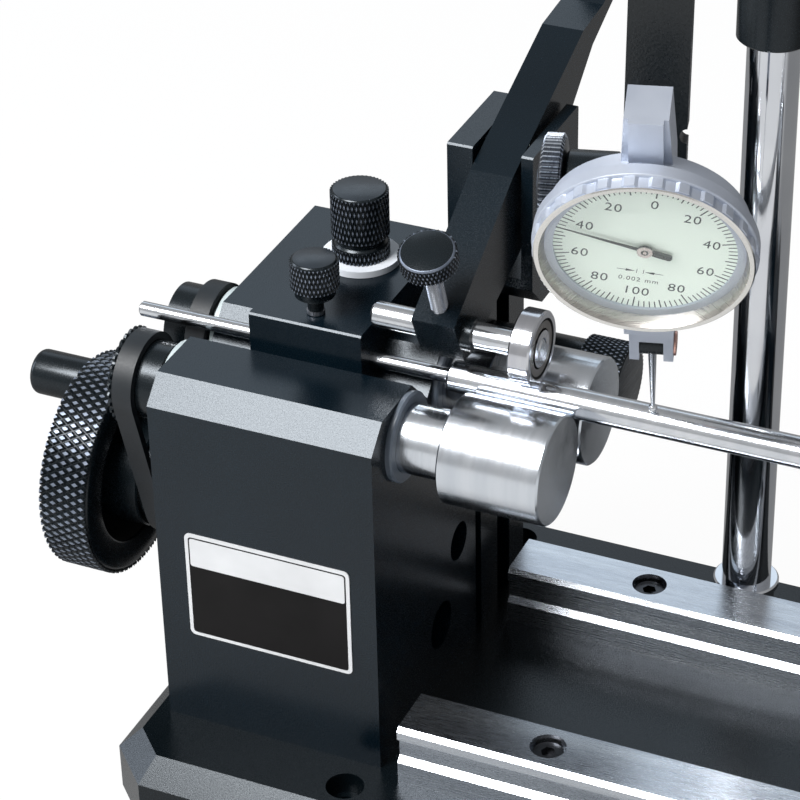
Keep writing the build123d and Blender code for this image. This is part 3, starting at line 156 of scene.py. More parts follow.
def turned_steel(name, axis, dark, light, rough, groove=0.0000012, metallic=1.0):
    """Steel turned or ground about an axis, with fine rings and a grain that runs round it."""
    grain, patch, along = 0.00016, 0.004, 0.02
    stretch = [along, along, along]
    stretch["XYZ".index(axis)] = 1.0
    made = Finish(name, Metallic=metallic, Anisotropic=0.35)
    rings = made.noise(grain, stretch, detail=3.0, rough=0.6)
    made.colour(made.noise(patch, stretch), dark, light, 0.25, 0.75)
    made.roughness(rings, rough * 0.7, rough * 1.35)
    made.bump(rings, groove)
    made.radial(axis)
    return made.made


def rail_steel():
    """Steel ground in straight lines along the rails, with slow streaks along them."""
    rough, line, streak = 0.27, 0.00022, 14
    stretch, turn = (0.05, 1, 1), (0, 0, 0.35)
    made = Finish("rail_steel", Metallic=1.0)
    lines = made.noise(line, stretch, turn, detail=4.0, rough=0.65)
    streaks = made.noise(line * streak, stretch, turn)
    made.colour(streaks, (0.5, 0.53, 0.58), (0.64, 0.67, 0.71), 0.3, 0.72)
    made.roughness(lines, rough * 0.72, rough * 1.3)
    made.bump(lines, 0.000002)
    return made.made


def post_chrome():
    """Plating that shows faint waves along the post."""
    made = Finish("post_chrome", Metallic=1.0)
    made.colour(made.noise(0.02), (0.6, 0.62, 0.66), (0.7, 0.72, 0.75))
    made.roughness(made.noise(0.0015, (1, 1, 0.2)), 0.05, 0.14)
    made.bump(made.noise(0.0006, (1, 1, 0.3), detail=3.0), 0.0000015)
    return made.made


def moulded(name, dark, light, rough, grain, height, patch=0.006, **sockets):
    """Moulded plastic, rubber or paint with a fine skin grain."""
    smoother, rougher = 0.06, 0.08
    made = Finish(name, Metallic=0.0, **sockets)
    fine = made.noise(grain, detail=3.0)
    made.colour(made.noise(patch), dark, light)
    made.roughness(fine, rough - smoother, rough + rougher)
    made.bump(fine, height)
    return made.made


def crinkle_black():
    """Black crinkle paint: a fine relief with round blisters over it."""
    made = Finish("crinkle_black", Metallic=0.0)
    blisters = made.cells(0.00055)
    fine = made.noise(0.0004, detail=4.0, rough=0.7)
    made.colour(fine, (0.002, 0.0035, 0.0045), (0.005, 0.0075, 0.0095), 0.3, 0.75)
    made.roughness(fine, 0.24, 0.5)
    made.bump(blisters, 0.00005, 0.8, made.bump(fine, 0.00003))
    return made.made


def indicator_satin():
    """Satin plating of the indicator's body and bezel."""
    made = Finish("indicator_satin", Metallic=0.75)
    fine = made.noise(0.00022, detail=3.0, rough=0.6)
    made.colour(made.noise(0.012), (0.44, 0.48, 0.56), (0.54, 0.58, 0.66))
    made.roughness(fine, 0.36, 0.5)
    made.bump(fine, 0.000004)
    return made.made


def bezel_bright():
    """The polished edge of the bezel."""
    made = Finish("bezel_bright", Metallic=1.0)
    fine = made.noise(0.0003)
    made.colour(fine, (0.72, 0.71, 0.68), (0.8, 0.79, 0.76))
    made.roughness(fine, 0.08, 0.2)
    return made.made


def crystal_clear():
    """A thin clear cover that shows the dial straight through, with a gloss."""
    made = Finish("crystal_clear", Alpha=0.07, IOR=1.45)
    haze = made.noise(0.004)
    made.colour(haze, (0.8, 0.88, 0.82), (0.86, 0.93, 0.87))
    made.roughness(haze, 0.03, 0.06)
    return made.made


# The finishes, each with its dark and light colours, its roughness and its relief
BLACK = anodised("black_anodised", (0.0008, 0.0038, 0.0068), (0.0016, 0.0058, 0.0098), 0.24)
BASE = anodised("base_anodised", (0.001, 0.0025, 0.0035), (0.002, 0.004, 0.0055), 0.26, patch=0.05)
KNURL = anodised("knurl_black", (0.0018, 0.003, 0.004), (0.0035, 0.0055, 0.007), 0.27, 0.000004, 0.006)
# The knurl tips are painted lighter and part metallic: a painted highlight on the flat tips.
KNURL_TIP_HIGHLIGHT = anodised("knurl_tips_painted_highlight", (0.12, 0.14, 0.18), (0.22, 0.25, 0.31), 0.34, 0.000005, 0.004, 0.55)
SATIN = anodised("satin_black", (0.0018, 0.0035, 0.0048), (0.0032, 0.0058, 0.0075), 0.24, 0.000003, 0.01)
FACED = turned_steel("faced_black", "Z", (0.012, 0.017, 0.023), (0.02, 0.027, 0.035), 0.3, 0.0000008, 0.0)
ROLLER = turned_steel("turned_roller", "X", (0.58, 0.62, 0.67), (0.7, 0.73, 0.77), 0.2, 0.0000016)
GROUND = turned_steel("ground_steel", "X", (0.6, 0.63, 0.67), (0.72, 0.74, 0.77), 0.16, 0.0000009)
DARK_STEEL = turned_steel("dark_steel", "X", (0.3, 0.32, 0.36), (0.42, 0.44, 0.48), 0.3, 0.000002)
SCREW = turned_steel("oxide_screw", "Z", (0.05, 0.052, 0.058), (0.09, 0.093, 0.1), 0.3, 0.000001)
CHROME = post_chrome()
RAIL = rail_steel()
BEARING = turned_steel("bearing_steel", "X", (0.55, 0.56, 0.6), (0.66, 0.67, 0.7), 0.13, 0.0000006)
SHIELD = turned_steel("bearing_shield", "X", (0.2, 0.19, 0.18), (0.3, 0.28, 0.26), 0.32, 0.000001)
# Bright paint for the crests of the clamp wheel's ridges: a painted highlight.
WHEEL_CREST_HIGHLIGHT = turned_steel("wheel_steel", "X", (0.42, 0.46, 0.52), (0.56, 0.6, 0.66), 0.3, 0.000001)
WHEEL_DARK = turned_steel("wheel_dark", "X", (0.05, 0.058, 0.07), (0.09, 0.1, 0.12), 0.32, 0.000001)
WARM_WALL = turned_steel("bezel_wall", "Z", (0.44, 0.42, 0.4), (0.56, 0.53, 0.5), 0.3, 0.0000006)
HUB = turned_steel("pointer_hub", "X", (0.62, 0.55, 0.53), (0.74, 0.66, 0.63), 0.22, 0.0000005)
COPPER = turned_steel("copper_washer", "X", (0.62, 0.36, 0.3), (0.74, 0.45, 0.38), 0.28, 0.0000005)
BUSH = moulded("bush_plastic", (0.4, 0.46, 0.47), (0.47, 0.53, 0.54), 0.42, 0.0004, 0.000004)
BUSH_GREY = moulded("bush_grey", (0.08, 0.1, 0.125), (0.11, 0.13, 0.16), 0.36, 0.0004, 0.000004)
NYLON = moulded("nylon_white", (0.62, 0.65, 0.7), (0.7, 0.73, 0.77), 0.38, 0.0005, 0.000004)
BELT = moulded("belt_rubber", (0.003, 0.0055, 0.008), (0.0055, 0.009, 0.0125), 0.5, 0.0003, 0.00001)
DIAL = moulded("dial_paint", (0.84, 0.92, 0.82), (0.87, 0.95, 0.85), 0.5, 0.0003, 0.000002, 0.02)
INK = moulded("dial_ink", (0.012, 0.016, 0.02), (0.02, 0.025, 0.03), 0.6, 0.0002, 0.000002)
POINTER = moulded("pointer_black", (0.006, 0.007, 0.008), (0.012, 0.014, 0.016), 0.35, 0.0002, 0.000002)
PLATE_WHITE = moulded(
    "plate_white", (0.52, 0.525, 0.53), (0.57, 0.575, 0.58), 0.4, 0.0005, 0.000002, 0.01
)
PLATE_BLACK = moulded(
    "plate_black", (0.003, 0.0027, 0.0028), (0.005, 0.0045, 0.0047), 0.34, 0.0005, 0.000002, 0.01, IOR=1.25
)
# A dark, matte paint laid in recesses: painted shade.
RECESS_SHADE = moulded("painted_recess_shade", (0.002, 0.0025, 0.003), (0.004, 0.005, 0.006), 0.7, 0.0004, 0.000004)
CRINKLE = crinkle_black()
SATIN_GREY = indicator_satin()
BRIGHT_RIM = bezel_bright()
CRYSTAL = crystal_clear()

# The finish of each CAD node
for finish, names in (
    (BASE, "base_plate"),
    (SCREW, "frame_screws handwheel_screw saddle_screws"),
    (BLACK, "headstock_body fork_block lever stop_block slide_blocks saddle_plate steady_bracket"),
    (BUSH_GREY, "roller_bushes"),
    (ROLLER, "front_roller rear_roller steady_roller_front steady_roller_rear"),
    (SATIN, "front_pulley rear_pulley drive_pulley handwheel crank_handle spindle_bush"),
    (SATIN, "lever_clamp_screw stop_rod_screw stop_block_knob headstock_lock_knob carriage_lock_knob"),
    (SATIN, "post_sleeve sleeve_lock_knob cross_clamp_knob holder_clamp stylus_carrier carrier_pin"),
    (BELT, "front_belt rear_belt"),
    (DARK_STEEL, "handwheel_shaft handle_pin"),
    (GROUND, "test_shaft lever_pivot_pin pressure_spindle stop_rod steady_pins arm_rod stylus"),
    (BEARING, "bearing_inner_ring bearing_outer_ring"),
    (NYLON, "stop_knob_washer"),
    (RAIL, "front_rail rear_rail"),
    (CHROME, "post post_foot post_washer"),
    (CRINKLE, "cross_clamp holder_bar"),
    (WHEEL_CREST_HIGHLIGHT, "clamp_wheel"),
    (SATIN_GREY, "indicator_body dial_bezel"),
    (DIAL, "dial_face"),
    (CRYSTAL, "crystal"),
    (POINTER, "dial_pointer"),
):
    for name in names.split():
        nodes[name].data.materials.clear()
        nodes[name].data.materials.append(finish)


# Mesh building
class Turning:
    """An axis that lathed forms are built about: where it starts, which way it runs, and a side."""

    def __init__(self, start, along, side=None):
        self.start = Vector(start)
        self.along = Vector(along).normalized()
        if side is None:
            side = UP if abs(self.along.z) < 0.9 else RIGHT
        side = Vector(side)
        self.side = (side - self.along * side.dot(self.along)).normalized()
        self.third = self.along.cross(self.side)

    def at(self, along, radius, angle):
        """A point in metres from a place and a radius in millimetres."""
        spoke = self.side * cos(angle) + self.third * sin(angle)
        return self.start + (self.along * along + spoke * radius) * MM


class Piece:
    """The points, faces and finishes of one made piece."""

    def __init__(self, name, *finishes):
        self.name = name
        self.finishes = finishes
        self.points = []
        self.faces = []
        self.paint = []

    def add(self, points, faces, paint=0):
        """Take in points in metres and faces of them; paint is one finish's number, or one a face."""
        start = len(self.points)
        self.points += [Vector(point) for point in points]
        self.faces += [[start + corner for corner in face] for face in faces]
        self.paint += [paint] * len(faces) if isinstance(paint, int) else paint

    def lathe(self, turning, outline, sides=64, paints=None, twist=None):
        """Spin (place, radius) points about the turning; a radius of zero closes the end.
        twist gives each point a change of radius by its place and angle, and paints is a
        list with one paint for each stretch, or a function of the stretch and the angle."""
        rings = []
        points = []
        for along, radius in outline:
            if radius == 0:
                rings.append([len(points)] * sides)
                points.append(turning.at(along, 0, 0))
                continue
            rings.append(list(range(len(points), len(points) + sides)))
            for step in range(sides):
                angle = 2 * pi * step / sides
                change = twist(along, angle) if twist else 0
                points.append(turning.at(along, radius + change, angle))
        faces = []
        paint = []
        for number, (low, high) in enumerate(zip(rings, rings[1:])):
            for step in range(sides):
                after = (step + 1) % sides
                face = [low[step], low[after], high[after], high[step]]
                kept = [corner for spot, corner in enumerate(face) if corner not in face[:spot]]
                if len(kept) > 2:
                    faces.append(kept)
                    if callable(paints):
                        paint.append(paints(number, 2 * pi * (step + 0.5) / sides))
                    else:
                        paint.append(paints[number] if paints else 0)
        self.add(points, faces, paint)

    def ring(self, turning, outline, sides=64, paints=None):
        """A lathed form whose outline closes on itself, so it has a hole along its axis."""
        closed = list(outline) + [outline[0]]
        self.lathe(turning, closed, sides, paints)

    def diamonds(self, turning, start, end, radius, depth, count, pitch, top=0.4, foot=0.9):
        """A diamond knurl: rows of raised diamonds between start and end, cut flat at both ends.
        The piece's second finish is on their sides and its third, a painted highlight, on their tips, and
        top and foot are the shares of the pitch that the tips and the feet take up."""
        sunk = 0.03
        side_paint, tip_highlight_paint = 1, 2
        made = bmesh.new()
        rows = int((end - start) / pitch * 2) + 3
        first = start - pitch / 2
        for row in range(rows):
            middle = first + row * pitch / 2
            if middle - pitch / 2 > end or middle + pitch / 2 < start:
                continue
            for number in range(count):
                angle = 2 * pi * (number + 0.5 * (row % 2)) / count
                rings = []
                for share, level in ((foot, radius - depth - sunk), (top, radius)):
                    long = pitch / 2 * share
                    wide = pi / count * share
                    corners = ((-long, 0), (0, wide), (long, 0), (0, -wide))
                    spots = [turning.at(middle + a, level, angle + w) for a, w in corners]
                    rings.append([made.verts.new(spot) for spot in spots])
                low, high = rings
                made.faces.new(low[::-1]).material_index = side_paint
                made.faces.new(high).material_index = tip_highlight_paint
                for spot in range(4):
                    after = (spot + 1) % 4
                    side = made.faces.new((low[spot], low[after], high[after], high[spot]))
                    side.material_index = side_paint
        for cut, way in ((start, -1), (end, 1)):
            everything = made.verts[:] + made.edges[:] + made.faces[:]
            bmesh.ops.bisect_plane(
                made,
                geom=everything,
                plane_co=turning.at(cut, 0, 0),
                plane_no=turning.along * way,
                clear_outer=True,
                dist=1e-7,
            )
            edges = [edge for edge in made.edges if edge.is_boundary]
            bmesh.ops.holes_fill(made, edges=edges, sides=0)
        made.verts.index_update()
        points = [vert.co.copy() for vert in made.verts]
        faces = [[vert.index for vert in face.verts] for face in made.faces]
        paint = [face.material_index for face in made.faces]
        made.free()
        self.add(points, faces, paint)

    def slab(self, origin, right, up, outline, low, high, paint=0):
        """A flat outline of (right, up) millimetres, run from low to high along its normal."""
        origin, right, up = Vector(origin), Vector(right).normalized(), Vector(up).normalized()
        out = right.cross(up)
        count = len(outline)
        flat = [right * x + up * y for x, y in outline]
        points = [origin + (point + out * level) * MM for level in (low, high) for point in flat]
        faces = [list(range(count))[::-1], list(range(count, 2 * count))]
        for step in range(count):
            after = (step + 1) % count
            faces.append([step, after, count + after, count + step])
        self.add(points, faces, paint)

    def done(self, body, replaces=(), angle=38):
        """Make the mesh and hang it on a body, with edges sharper than the angle in degrees kept."""
        mesh = bpy.data.meshes.new(self.name)
        mesh.from_pydata([tuple(point) for point in self.points], [], self.faces)
        for finish in self.finishes:
            mesh.materials.append(finish)
        mesh.polygons.foreach_set("material_index", self.paint)
        work = bmesh.new()
        work.from_mesh(mesh)
        bmesh.ops.recalc_face_normals(work, faces=work.faces)
        work.to_mesh(mesh)
        work.free()
        mesh.polygons.foreach_set("use_smooth", [True] * len(mesh.polygons))
        mesh.set_sharp_from_angle(angle=radians(angle))
        made = bpy.data.objects.new(self.name, mesh)
        bpy.context.scene.collection.objects.link(made)
        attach(made, body)
        if replaces:
            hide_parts(*replaces)


def rounded(width, height, corner, steps=6):
    """The outline of a rectangle with round corners, about its middle."""
    points = []
    for turn, (side_x, side_y) in enumerate(((1, 1), (-1, 1), (-1, -1), (1, -1))):
        for step in range(steps + 1):
            angle = (turn + step / steps) * pi / 2
            x = side_x * (width / 2 - corner) + corner * cos(angle)
            y = side_y * (height / 2 - corner) + corner * sin(angle)
            points.append((x, y))
    return points


# Handwheel, in millimetres along and out from its axis
wheel = Turning(place("handwheel_spin"), RIGHT)
rim = Piece("handwheel_rim", SATIN, KNURL, KNURL_TIP_HIGHLIGHT, RECESS_SHADE)
wheel_r, wheel_width, rim_depth, rim_shoulder_r = 26.3, 13.0, 0.62, 25.1
left_web, right_web, web_r = 1.5, 5.0, 18.3
hub_end, hub_r, bore_r, hub_edge = 19.1, 13.0, 5.0, 0.4
wheel_teeth, wheel_pitch, knurl_inset = 73, 3.7, 0.45
rim_outline = [
    (left_web, bore_r),
    (left_web, hub_r + 0.6),
    (1.1, 14.4),
    (0.0, 15.6),
    (0.0, 24.6),
    (0.35, rim_shoulder_r),
    (0.9, wheel_r - rim_depth),
    (wheel_width - 0.9, wheel_r - rim_depth),
    (wheel_width - 0.35, rim_shoulder_r),
    (wheel_width, 24.6),
    (wheel_width, 19.0),
    (wheel_width - 0.4, 18.4),
    (wheel_width - 1.1, web_r),
    (right_web + 1.2, web_r),
    (right_web + 0.3, 17.6),
    (right_web, 16.6),
    (right_web, hub_r + hub_edge),
    (right_web + hub_edge, hub_r),
    (hub_end - hub_edge, hub_r),
    (hub_end, hub_r - hub_edge),
    (hub_end, bore_r),
]
# The recess inside the rim takes the painted shade.
knurled, shaded_recess = range(4, 8), range(12, 16)
rim_paints = [
    1 if number in knurled else 3 if number in shaded_recess else 0 for number in range(len(rim_outline))
]
rim.ring(wheel, rim_outline, 2 * wheel_teeth, rim_paints)
knurl_ends = (knurl_inset, wheel_width - knurl_inset)
rim.diamonds(wheel, *knurl_ends, wheel_r, rim_depth, wheel_teeth, wheel_pitch, 0.45, 0.92)
rim.done("handwheel", ["handwheel"])

# Roller bushes in both faces of the headstock
rollers = {name: Turning(place(name + "_spin"), RIGHT) for name in ("front_roller", "rear_roller")}
head_left, head_right = reach("headstock_body", Vector(), RIGHT)
bush_flange, bush_length, bush_edge, bush_sides = 1.5, 12.0, 0.4, 72
bush_flange_r, bush_seat_r, left_bore_r, right_bore_r = 10.5, 9.0, 5.05, 8.05
bushes = Piece("bush_flanges", BUSH, BUSH_GREY)
for turning in rollers.values():
    for side, way, bore, paint in ((head_left, -1, left_bore_r, 0), (head_right, 1, right_bore_r, 1)):
        face = side - turning.start.x / MM
        bush_outline = [
            (face + way * bush_flange, bore),
            (face + way * bush_flange, bush_flange_r - bush_edge),
            (face + way * (bush_flange - bush_edge), bush_flange_r),
            (face, bush_flange_r),
            (face, bush_seat_r),
            (face - way * bush_length, bush_seat_r),
            (face - way * bush_length, bore),
        ]
        bushes.ring(turning, bush_outline, bush_sides, [paint] * len(bush_outline))
bushes.done("frame", ["roller_bushes"])

# Belt pulleys, the front one with a toothed flange at its left end
pulley_gap, pulley_length, pulley_r = 1.0, 11.4, 9.2
pulley_left = head_left - bush_flange - pulley_gap - pulley_length
flange_width, flange_r, flange_edge, flange_edge_r = 1.1, 11.4, 0.3, 10.9
flange_teeth, tooth_depth, steps_a_tooth, flange_margin = 31, 0.45, 8, 0.05


def tooth_cut(along, angle):
    """A change of radius that cuts square teeth in the flange, and leaves the drum beside it."""
    phase = (angle / (2 * pi) * flange_teeth) % 1
    flange_end = pulley_left + flange_width - rollers["front_roller"].start.x / MM
    on_flange = along < flange_end - flange_margin
    return -tooth_depth * min(max((abs(phase - 0.5) - 0.2) * 10, 0), 1) if on_flange else 0


flange_outline = [
    (0, flange_edge_r),
    (flange_edge, flange_r),
    (flange_width - flange_edge, flange_r),
    (flange_width, flange_edge_r),
    (flange_width, pulley_r),
]
for name, rim_points, cut in (
    ("front", flange_outline, tooth_cut),
    ("rear", [(0, pulley_r)], None),
):
    turning = rollers[name + "_roller"]
    start = pulley_left - turning.start.x / MM
    drum = Piece(name + "_pulley_drum", SATIN)
    outline = [(0, 0), *rim_points, (pulley_length, pulley_r), (pulley_length, 0)]
    outline = [(start + along, radius) for along, radius in outline]
    drum.lathe(turning, outline, flange_teeth * steps_a_tooth, None, cut)
    drum.done(name + "_roller", [name + "_pulley"], 30)

# Crank handle
handle = Turning(place("crank_handle_spin"), RIGHT)
grip = Piece("crank_grip", SATIN)
grip_start, grip_end, grip_r, nose_r = -0.2, -24.6, 5.7, 1.8
grip_bore_r, grip_bore_end = 2.55, -18.2
nose_angles = [radians(10 * step) for step in range(10)]
nose = [(grip_end + nose_r * (1 - sin(a)), grip_r - nose_r * (1 - cos(a))) for a in nose_angles]
grip_outline = [
    (grip_bore_end, 0),
    (grip_bore_end, grip_bore_r),
    (grip_start, grip_bore_r),
    (grip_start, grip_r - 0.6),
    (grip_start - 0.4, grip_r - 0.15),
    (grip_start - 0.9, grip_r),
]
grip.lathe(handle, grip_outline + nose + [(grip_end, 0)], 48)
grip.done("crank_handle", ["crank_handle"])

# Stop block knob: a stud, a knurled ring, a groove and the knurled head
knob_turn = Turning(place("stop_block_knob_turn"), UP)
knob = Piece("stop_knob", SATIN, KNURL, KNURL_TIP_HIGHLIGHT, FACED)
knob_seat, ring_top, knob_main = 1.8, 5.0, 7.0
knob_top = knob_main + 11.6
knob_teeth, knob_pitch, head_knurl, ring_knurl = 43, 3.2, 0.32, 0.28
stud_end, stud_r, stud_edge = -18.1, 3.0, 0.4
ring_r, ring_tip_r, groove_r, head_r, head_tip_r, knob_edge = 6.4, 6.75, 5.75, 6.48, 6.8, 0.35
knob.lathe(
    knob_turn,
    [
        (stud_end, 0),
        (stud_end, stud_r - stud_edge),
        (stud_end + stud_edge, stud_r),
        (knob_seat, stud_r),
        (knob_seat, ring_r - 0.3),
        (knob_seat + 0.3, ring_r),
        (ring_top - knob_edge, ring_r),
        (ring_top, ring_r - 0.25),
        (ring_top + knob_edge, groove_r),
        (knob_main - knob_edge, groove_r),
        (knob_main, groove_r + knob_edge),
        (knob_main + knob_edge, head_r),
        (knob_top - 0.5, head_r),
        (knob_top - 0.05, 6.15),
        (knob_top, 6.05),
        (knob_top, 0),
    ],
    2 * knob_teeth,
    [0, 0, 0, 0, 0, 1, 1, 0, 0, 0, 0, 1, 0, 0, 3],
)
for low, high, tip_r, depth in (
    (knob_main + 0.15, knob_top - 0.35, head_tip_r, head_knurl),
    (knob_seat + 0.15, ring_top - 0.15, ring_tip_r, ring_knurl),
):
    knob.diamonds(knob_turn, low, high, tip_r, depth, knob_teeth, knob_pitch)
knob.done("stop_block_knob", ["stop_block_knob"])


def thread_twist(pitch, depth):
    """A change of radius that winds round as a thread."""

    def change(along, angle):
        phase = (along / pitch - angle / (2 * pi)) % 1
        return -depth * abs(2 * phase - 1)

    return change


def thread(piece, turning, start, end, radius, pitch, depth, paint, sides=28):
    """A threaded length, closed at both ends."""
    steps = max(int((end - start) / pitch * 6), 4)
    places = [start + (end - start) * step / steps for step in range(steps + 1)]
    outline = [(start, 0)] + [(spot, radius) for spot in places] + [(end, 0)]
    piece.lathe(turning, outline, sides, [paint] * (len(outline) - 1), thread_twist(pitch, depth))


# Stop rod thumb screw, from its collar up, with its threaded stud standing on the rod
thumb_turn = Turning(place("stop_rod_screw_turn"), UP)
thumb = Piece("rod_thumb_screw", SATIN, KNURL, KNURL_TIP_HIGHLIGHT, FACED, DARK_STEEL)
neck_ring_r, neck_r, collar_start, collar_r = 2.1, 1.85, 4.75, 4.66
thumb_start, thumb_top, thumb_r, thumb_tip_r = 7.1, 14.2, 5.32, 5.6
thumb_teeth, thumb_pitch, thumb_knurl = 38, 2.6, 0.28
thumb.lathe(
    thumb_turn,
    [
        (0.1, 0),
        (0.1, neck_ring_r - 0.1),
        (0.2, neck_ring_r),
        (1.0, neck_ring_r),
        (1.1, neck_r),
        (collar_start, neck_r),
        (collar_start, 4.35),
        (collar_start + 0.25, collar_r),
        (thumb_start - 0.25, collar_r),
        (thumb_start, 4.8),
        (thumb_start + 0.3, thumb_r),
        (thumb_top - 0.6, thumb_r),
        (thumb_top - 0.1, 4.95),
        (thumb_top, 4.8),
        (thumb_top, 0),
    ],
    2 * thumb_teeth,
    [0, 4, 4, 4, 0, 0, 0, 0, 0, 0, 1, 0, 0, 3],
)
thumb_ends = (thumb_start + 0.1, thumb_top - 0.45)
thumb.diamonds(thumb_turn, *thumb_ends, thumb_tip_r, thumb_knurl, thumb_teeth, thumb_pitch)
rod_top, thumb_clearance = reach("stop_rod", thumb_turn.start, UP)[1], 0.1
stud_top, stud_thread_r, stud_pitch, stud_depth = 0.15, 1.6, 0.5, 0.2
stud_foot = rod_top + thumb_clearance
thread(thumb, thumb_turn, stud_foot, stud_top, stud_thread_r, stud_pitch, stud_depth, 4)
thumb.done("stop_rod_screw", ["stop_rod_screw"])

# Lever clamp screw
clamp_turn = Turning(place("lever_clamp_screw_turn"), heading("lever_clamp_screw_turn"), RIGHT)
clamp = Piece("lever_clamp_knob", SATIN, KNURL, KNURL_TIP_HIGHLIGHT, FACED, DARK_STEEL)
clamp_thread_start, clamp_thread_r, clamp_low, clamp_high = 3.2, 2.0, 21.4, 25.9
clamp_r, clamp_tip_r, clamp_edge = 6.2, 6.55, 0.5
clamp_teeth, clamp_pitch, clamp_knurl = 44, 2.3, 0.33
clamp_thread_pitch, clamp_thread_depth = 0.75, 0.42
thread(
    clamp,
    clamp_turn,
    clamp_thread_start,
    clamp_low + 0.2,
    clamp_thread_r,
    clamp_thread_pitch,
    clamp_thread_depth,
    4,
    32,
)
clamp.lathe(
    clamp_turn,
    [
        (clamp_low, 0),
        (clamp_low, clamp_r - 0.8),
        (clamp_low + clamp_edge, clamp_r),
        (clamp_high - clamp_edge, clamp_r),
        (clamp_high - 0.05, 5.85),
        (clamp_high, 5.75),
        (clamp_high, 0),
    ],
    2 * clamp_teeth,
    # The top edge takes the knurl tips' finish: a painted highlight along it.
    [0, 0, 1, 2, 2, 0],
)
clamp_ends = (clamp_low + 0.35, clamp_high - 0.4)
clamp.diamonds(clamp_turn, *clamp_ends, clamp_tip_r, clamp_knurl, clamp_teeth, clamp_pitch)
clamp.done("lever_clamp_screw", ["lever_clamp_screw"])

# Pressure bearing: the outer ring, with a shield in each face
bearing_turn = Turning(place("pressure_bearing_spin"), RIGHT)
bearing_start, bearing_end = reach("bearing_outer_ring", bearing_turn.start, bearing_turn.along)
race = Piece("bearing_race", BEARING, RECESS_SHADE, SHIELD)
race_r, race_edge, race_lip_r, shield_depth, shield_bore_r = 8.5, 0.4, 6.9, 0.6, 4.6
race.ring(
    bearing_turn,
    [
        (bearing_start, race_lip_r),
        (bearing_start, race_r - race_edge),
        (bearing_start + race_edge, race_r),
        (bearing_end - race_edge, race_r),
        (bearing_end, race_r - race_edge),
        (bearing_end, race_lip_r),
        (bearing_end - shield_depth, race_lip_r - 0.2),
        (bearing_start + shield_depth, race_lip_r - 0.2),
    ],
    88,
    # The bore between the shields takes the painted shade.
    [0, 0, 0, 0, 0, 1, 1, 1],
)
shield_outline = [(0.25, shield_bore_r), (0.2, 6.3), (shield_depth, 6.72), (shield_depth, shield_bore_r)]
# The shields' edges and backs take the painted shade.
for way, face in ((1, bearing_start), (-1, bearing_end)):
    shield = [(face + way * depth, radius) for depth, radius in shield_outline]
    race.ring(bearing_turn, shield, 88, [2, 1, 1, 1])
race.done("pressure_bearing", ["bearing_outer_ring"])

# Headstock lock knob: a stud, a plain barrel and the knurled head
lock_turn = Turning(place("headstock_lock_knob_turn"), RIGHT)
lock = Piece("head_lock_knob", SATIN, KNURL, KNURL_TIP_HIGHLIGHT, FACED)
lock_stud_end, lock_stud_r, barrel_start, barrel_end, barrel_r = -14, 4.0, 0.2, 24.0, 8.5
lock_end, lock_r, lock_tip_r, lock_edge = 35.0, 9.68, 10.0, 0.4
lock_teeth, lock_pitch, lock_knurl = 52, 2.4, 0.36
lock.lathe(
    lock_turn,
    [
        (lock_stud_end, 0),
        (lock_stud_end, lock_stud_r - lock_edge),
        (lock_stud_end + lock_edge, lock_stud_r),
        (barrel_start, lock_stud_r),
        (barrel_start, barrel_r - 0.3),
        (barrel_start + 0.3, barrel_r),
        (barrel_end, barrel_r),
        (barrel_end, 9.2),
        (barrel_end + lock_edge, lock_r),
        (lock_end - lock_edge, lock_r),
        (lock_end - 0.05, 9.3),
        (lock_end, 9.1),
        (lock_end, 0),
    ],
    2 * lock_teeth,
    [0, 0, 0, 0, 0, 0, 0, 0, 1, 0, 0, 3],
)
lock_ends = (barrel_end + 0.2, lock_end - 0.2)
lock.diamonds(lock_turn, *lock_ends, lock_tip_r, lock_knurl, lock_teeth, lock_pitch)
lock.done("headstock_lock_knob", ["headstock_lock_knob"])

# Plain knurled clamp knobs on their studs, with dished ends
plain_length, plain_stud_r, plain_knurl = 10.0, 3.0, 0.42


def clamp_knob(name, node, turning, stud_start, head_start, radius, count, pitch):
    """A knob that stands for the CAD node of the body of the same name."""
    made = Piece(name, SATIN, KNURL, KNURL_TIP_HIGHLIGHT, FACED)
    end = head_start + plain_length
    knurl_start, knurl_end = head_start + 0.4, end - 0.6
    made.lathe(
        turning,
        [
            (stud_start, 0),
            (stud_start, plain_stud_r),
            (head_start, plain_stud_r),
            (head_start, radius - 1.3),
            (head_start + 0.5, radius - 0.4),
            (end - 0.8, radius - 0.4),
            (end - 0.3, radius - 0.8),
            (end, radius - 1.4),
            (end, radius - 2.2),
            (end - 0.3, radius - 2.6),
            (end - 0.3, 0),
        ],
        count * 2,
        [0, 0, 0, 0, 1, 0, 0, 0, 0, 3],
    )
    made.diamonds(turning, knurl_start, knurl_end, radius, plain_knurl, count, pitch, 0.42)
    made.done(node, [node])


carriage_turn = Turning(place("carriage_lock_knob_turn"), (0, -1, 0))
clamp_knob("carriage_knob", "carriage_lock_knob", carriage_turn, -6.0, 3.0, 9.0, 34, 3.0)
for name, node in (("sleeve_knob", "sleeve_lock_knob"), ("cross_knob", "cross_clamp_knob")):
    turning = Turning(place(node + "_turn"), heading(node + "_turn"))
    low, high = reach(node, turning.start, turning.along)
    if high <= -low:
        turning.along = -turning.along
        turning.third = -turning.third
        low, high = reach(node, turning.start, turning.along)
    clamp_knob(name, node, turning, low, high - plain_length, 8.0, 32, 2.8)

# Directions of the indicator: out of its dial, to its right and up its face
dial_middle = place("bezel_turn")
outward = heading("bezel_turn")
across = heading("clamp_wheel_turn")
upward = outward.cross(across)

# Clamp wheel beside the indicator: a hub, a ridged band and an outer face
side_wheel = Turning(place("clamp_wheel_turn"), across)
low, high = reach("clamp_wheel", side_wheel.start, across)
disc = Piece("clamp_wheel_ridged", WHEEL_CREST_HIGHLIGHT, WHEEL_DARK)
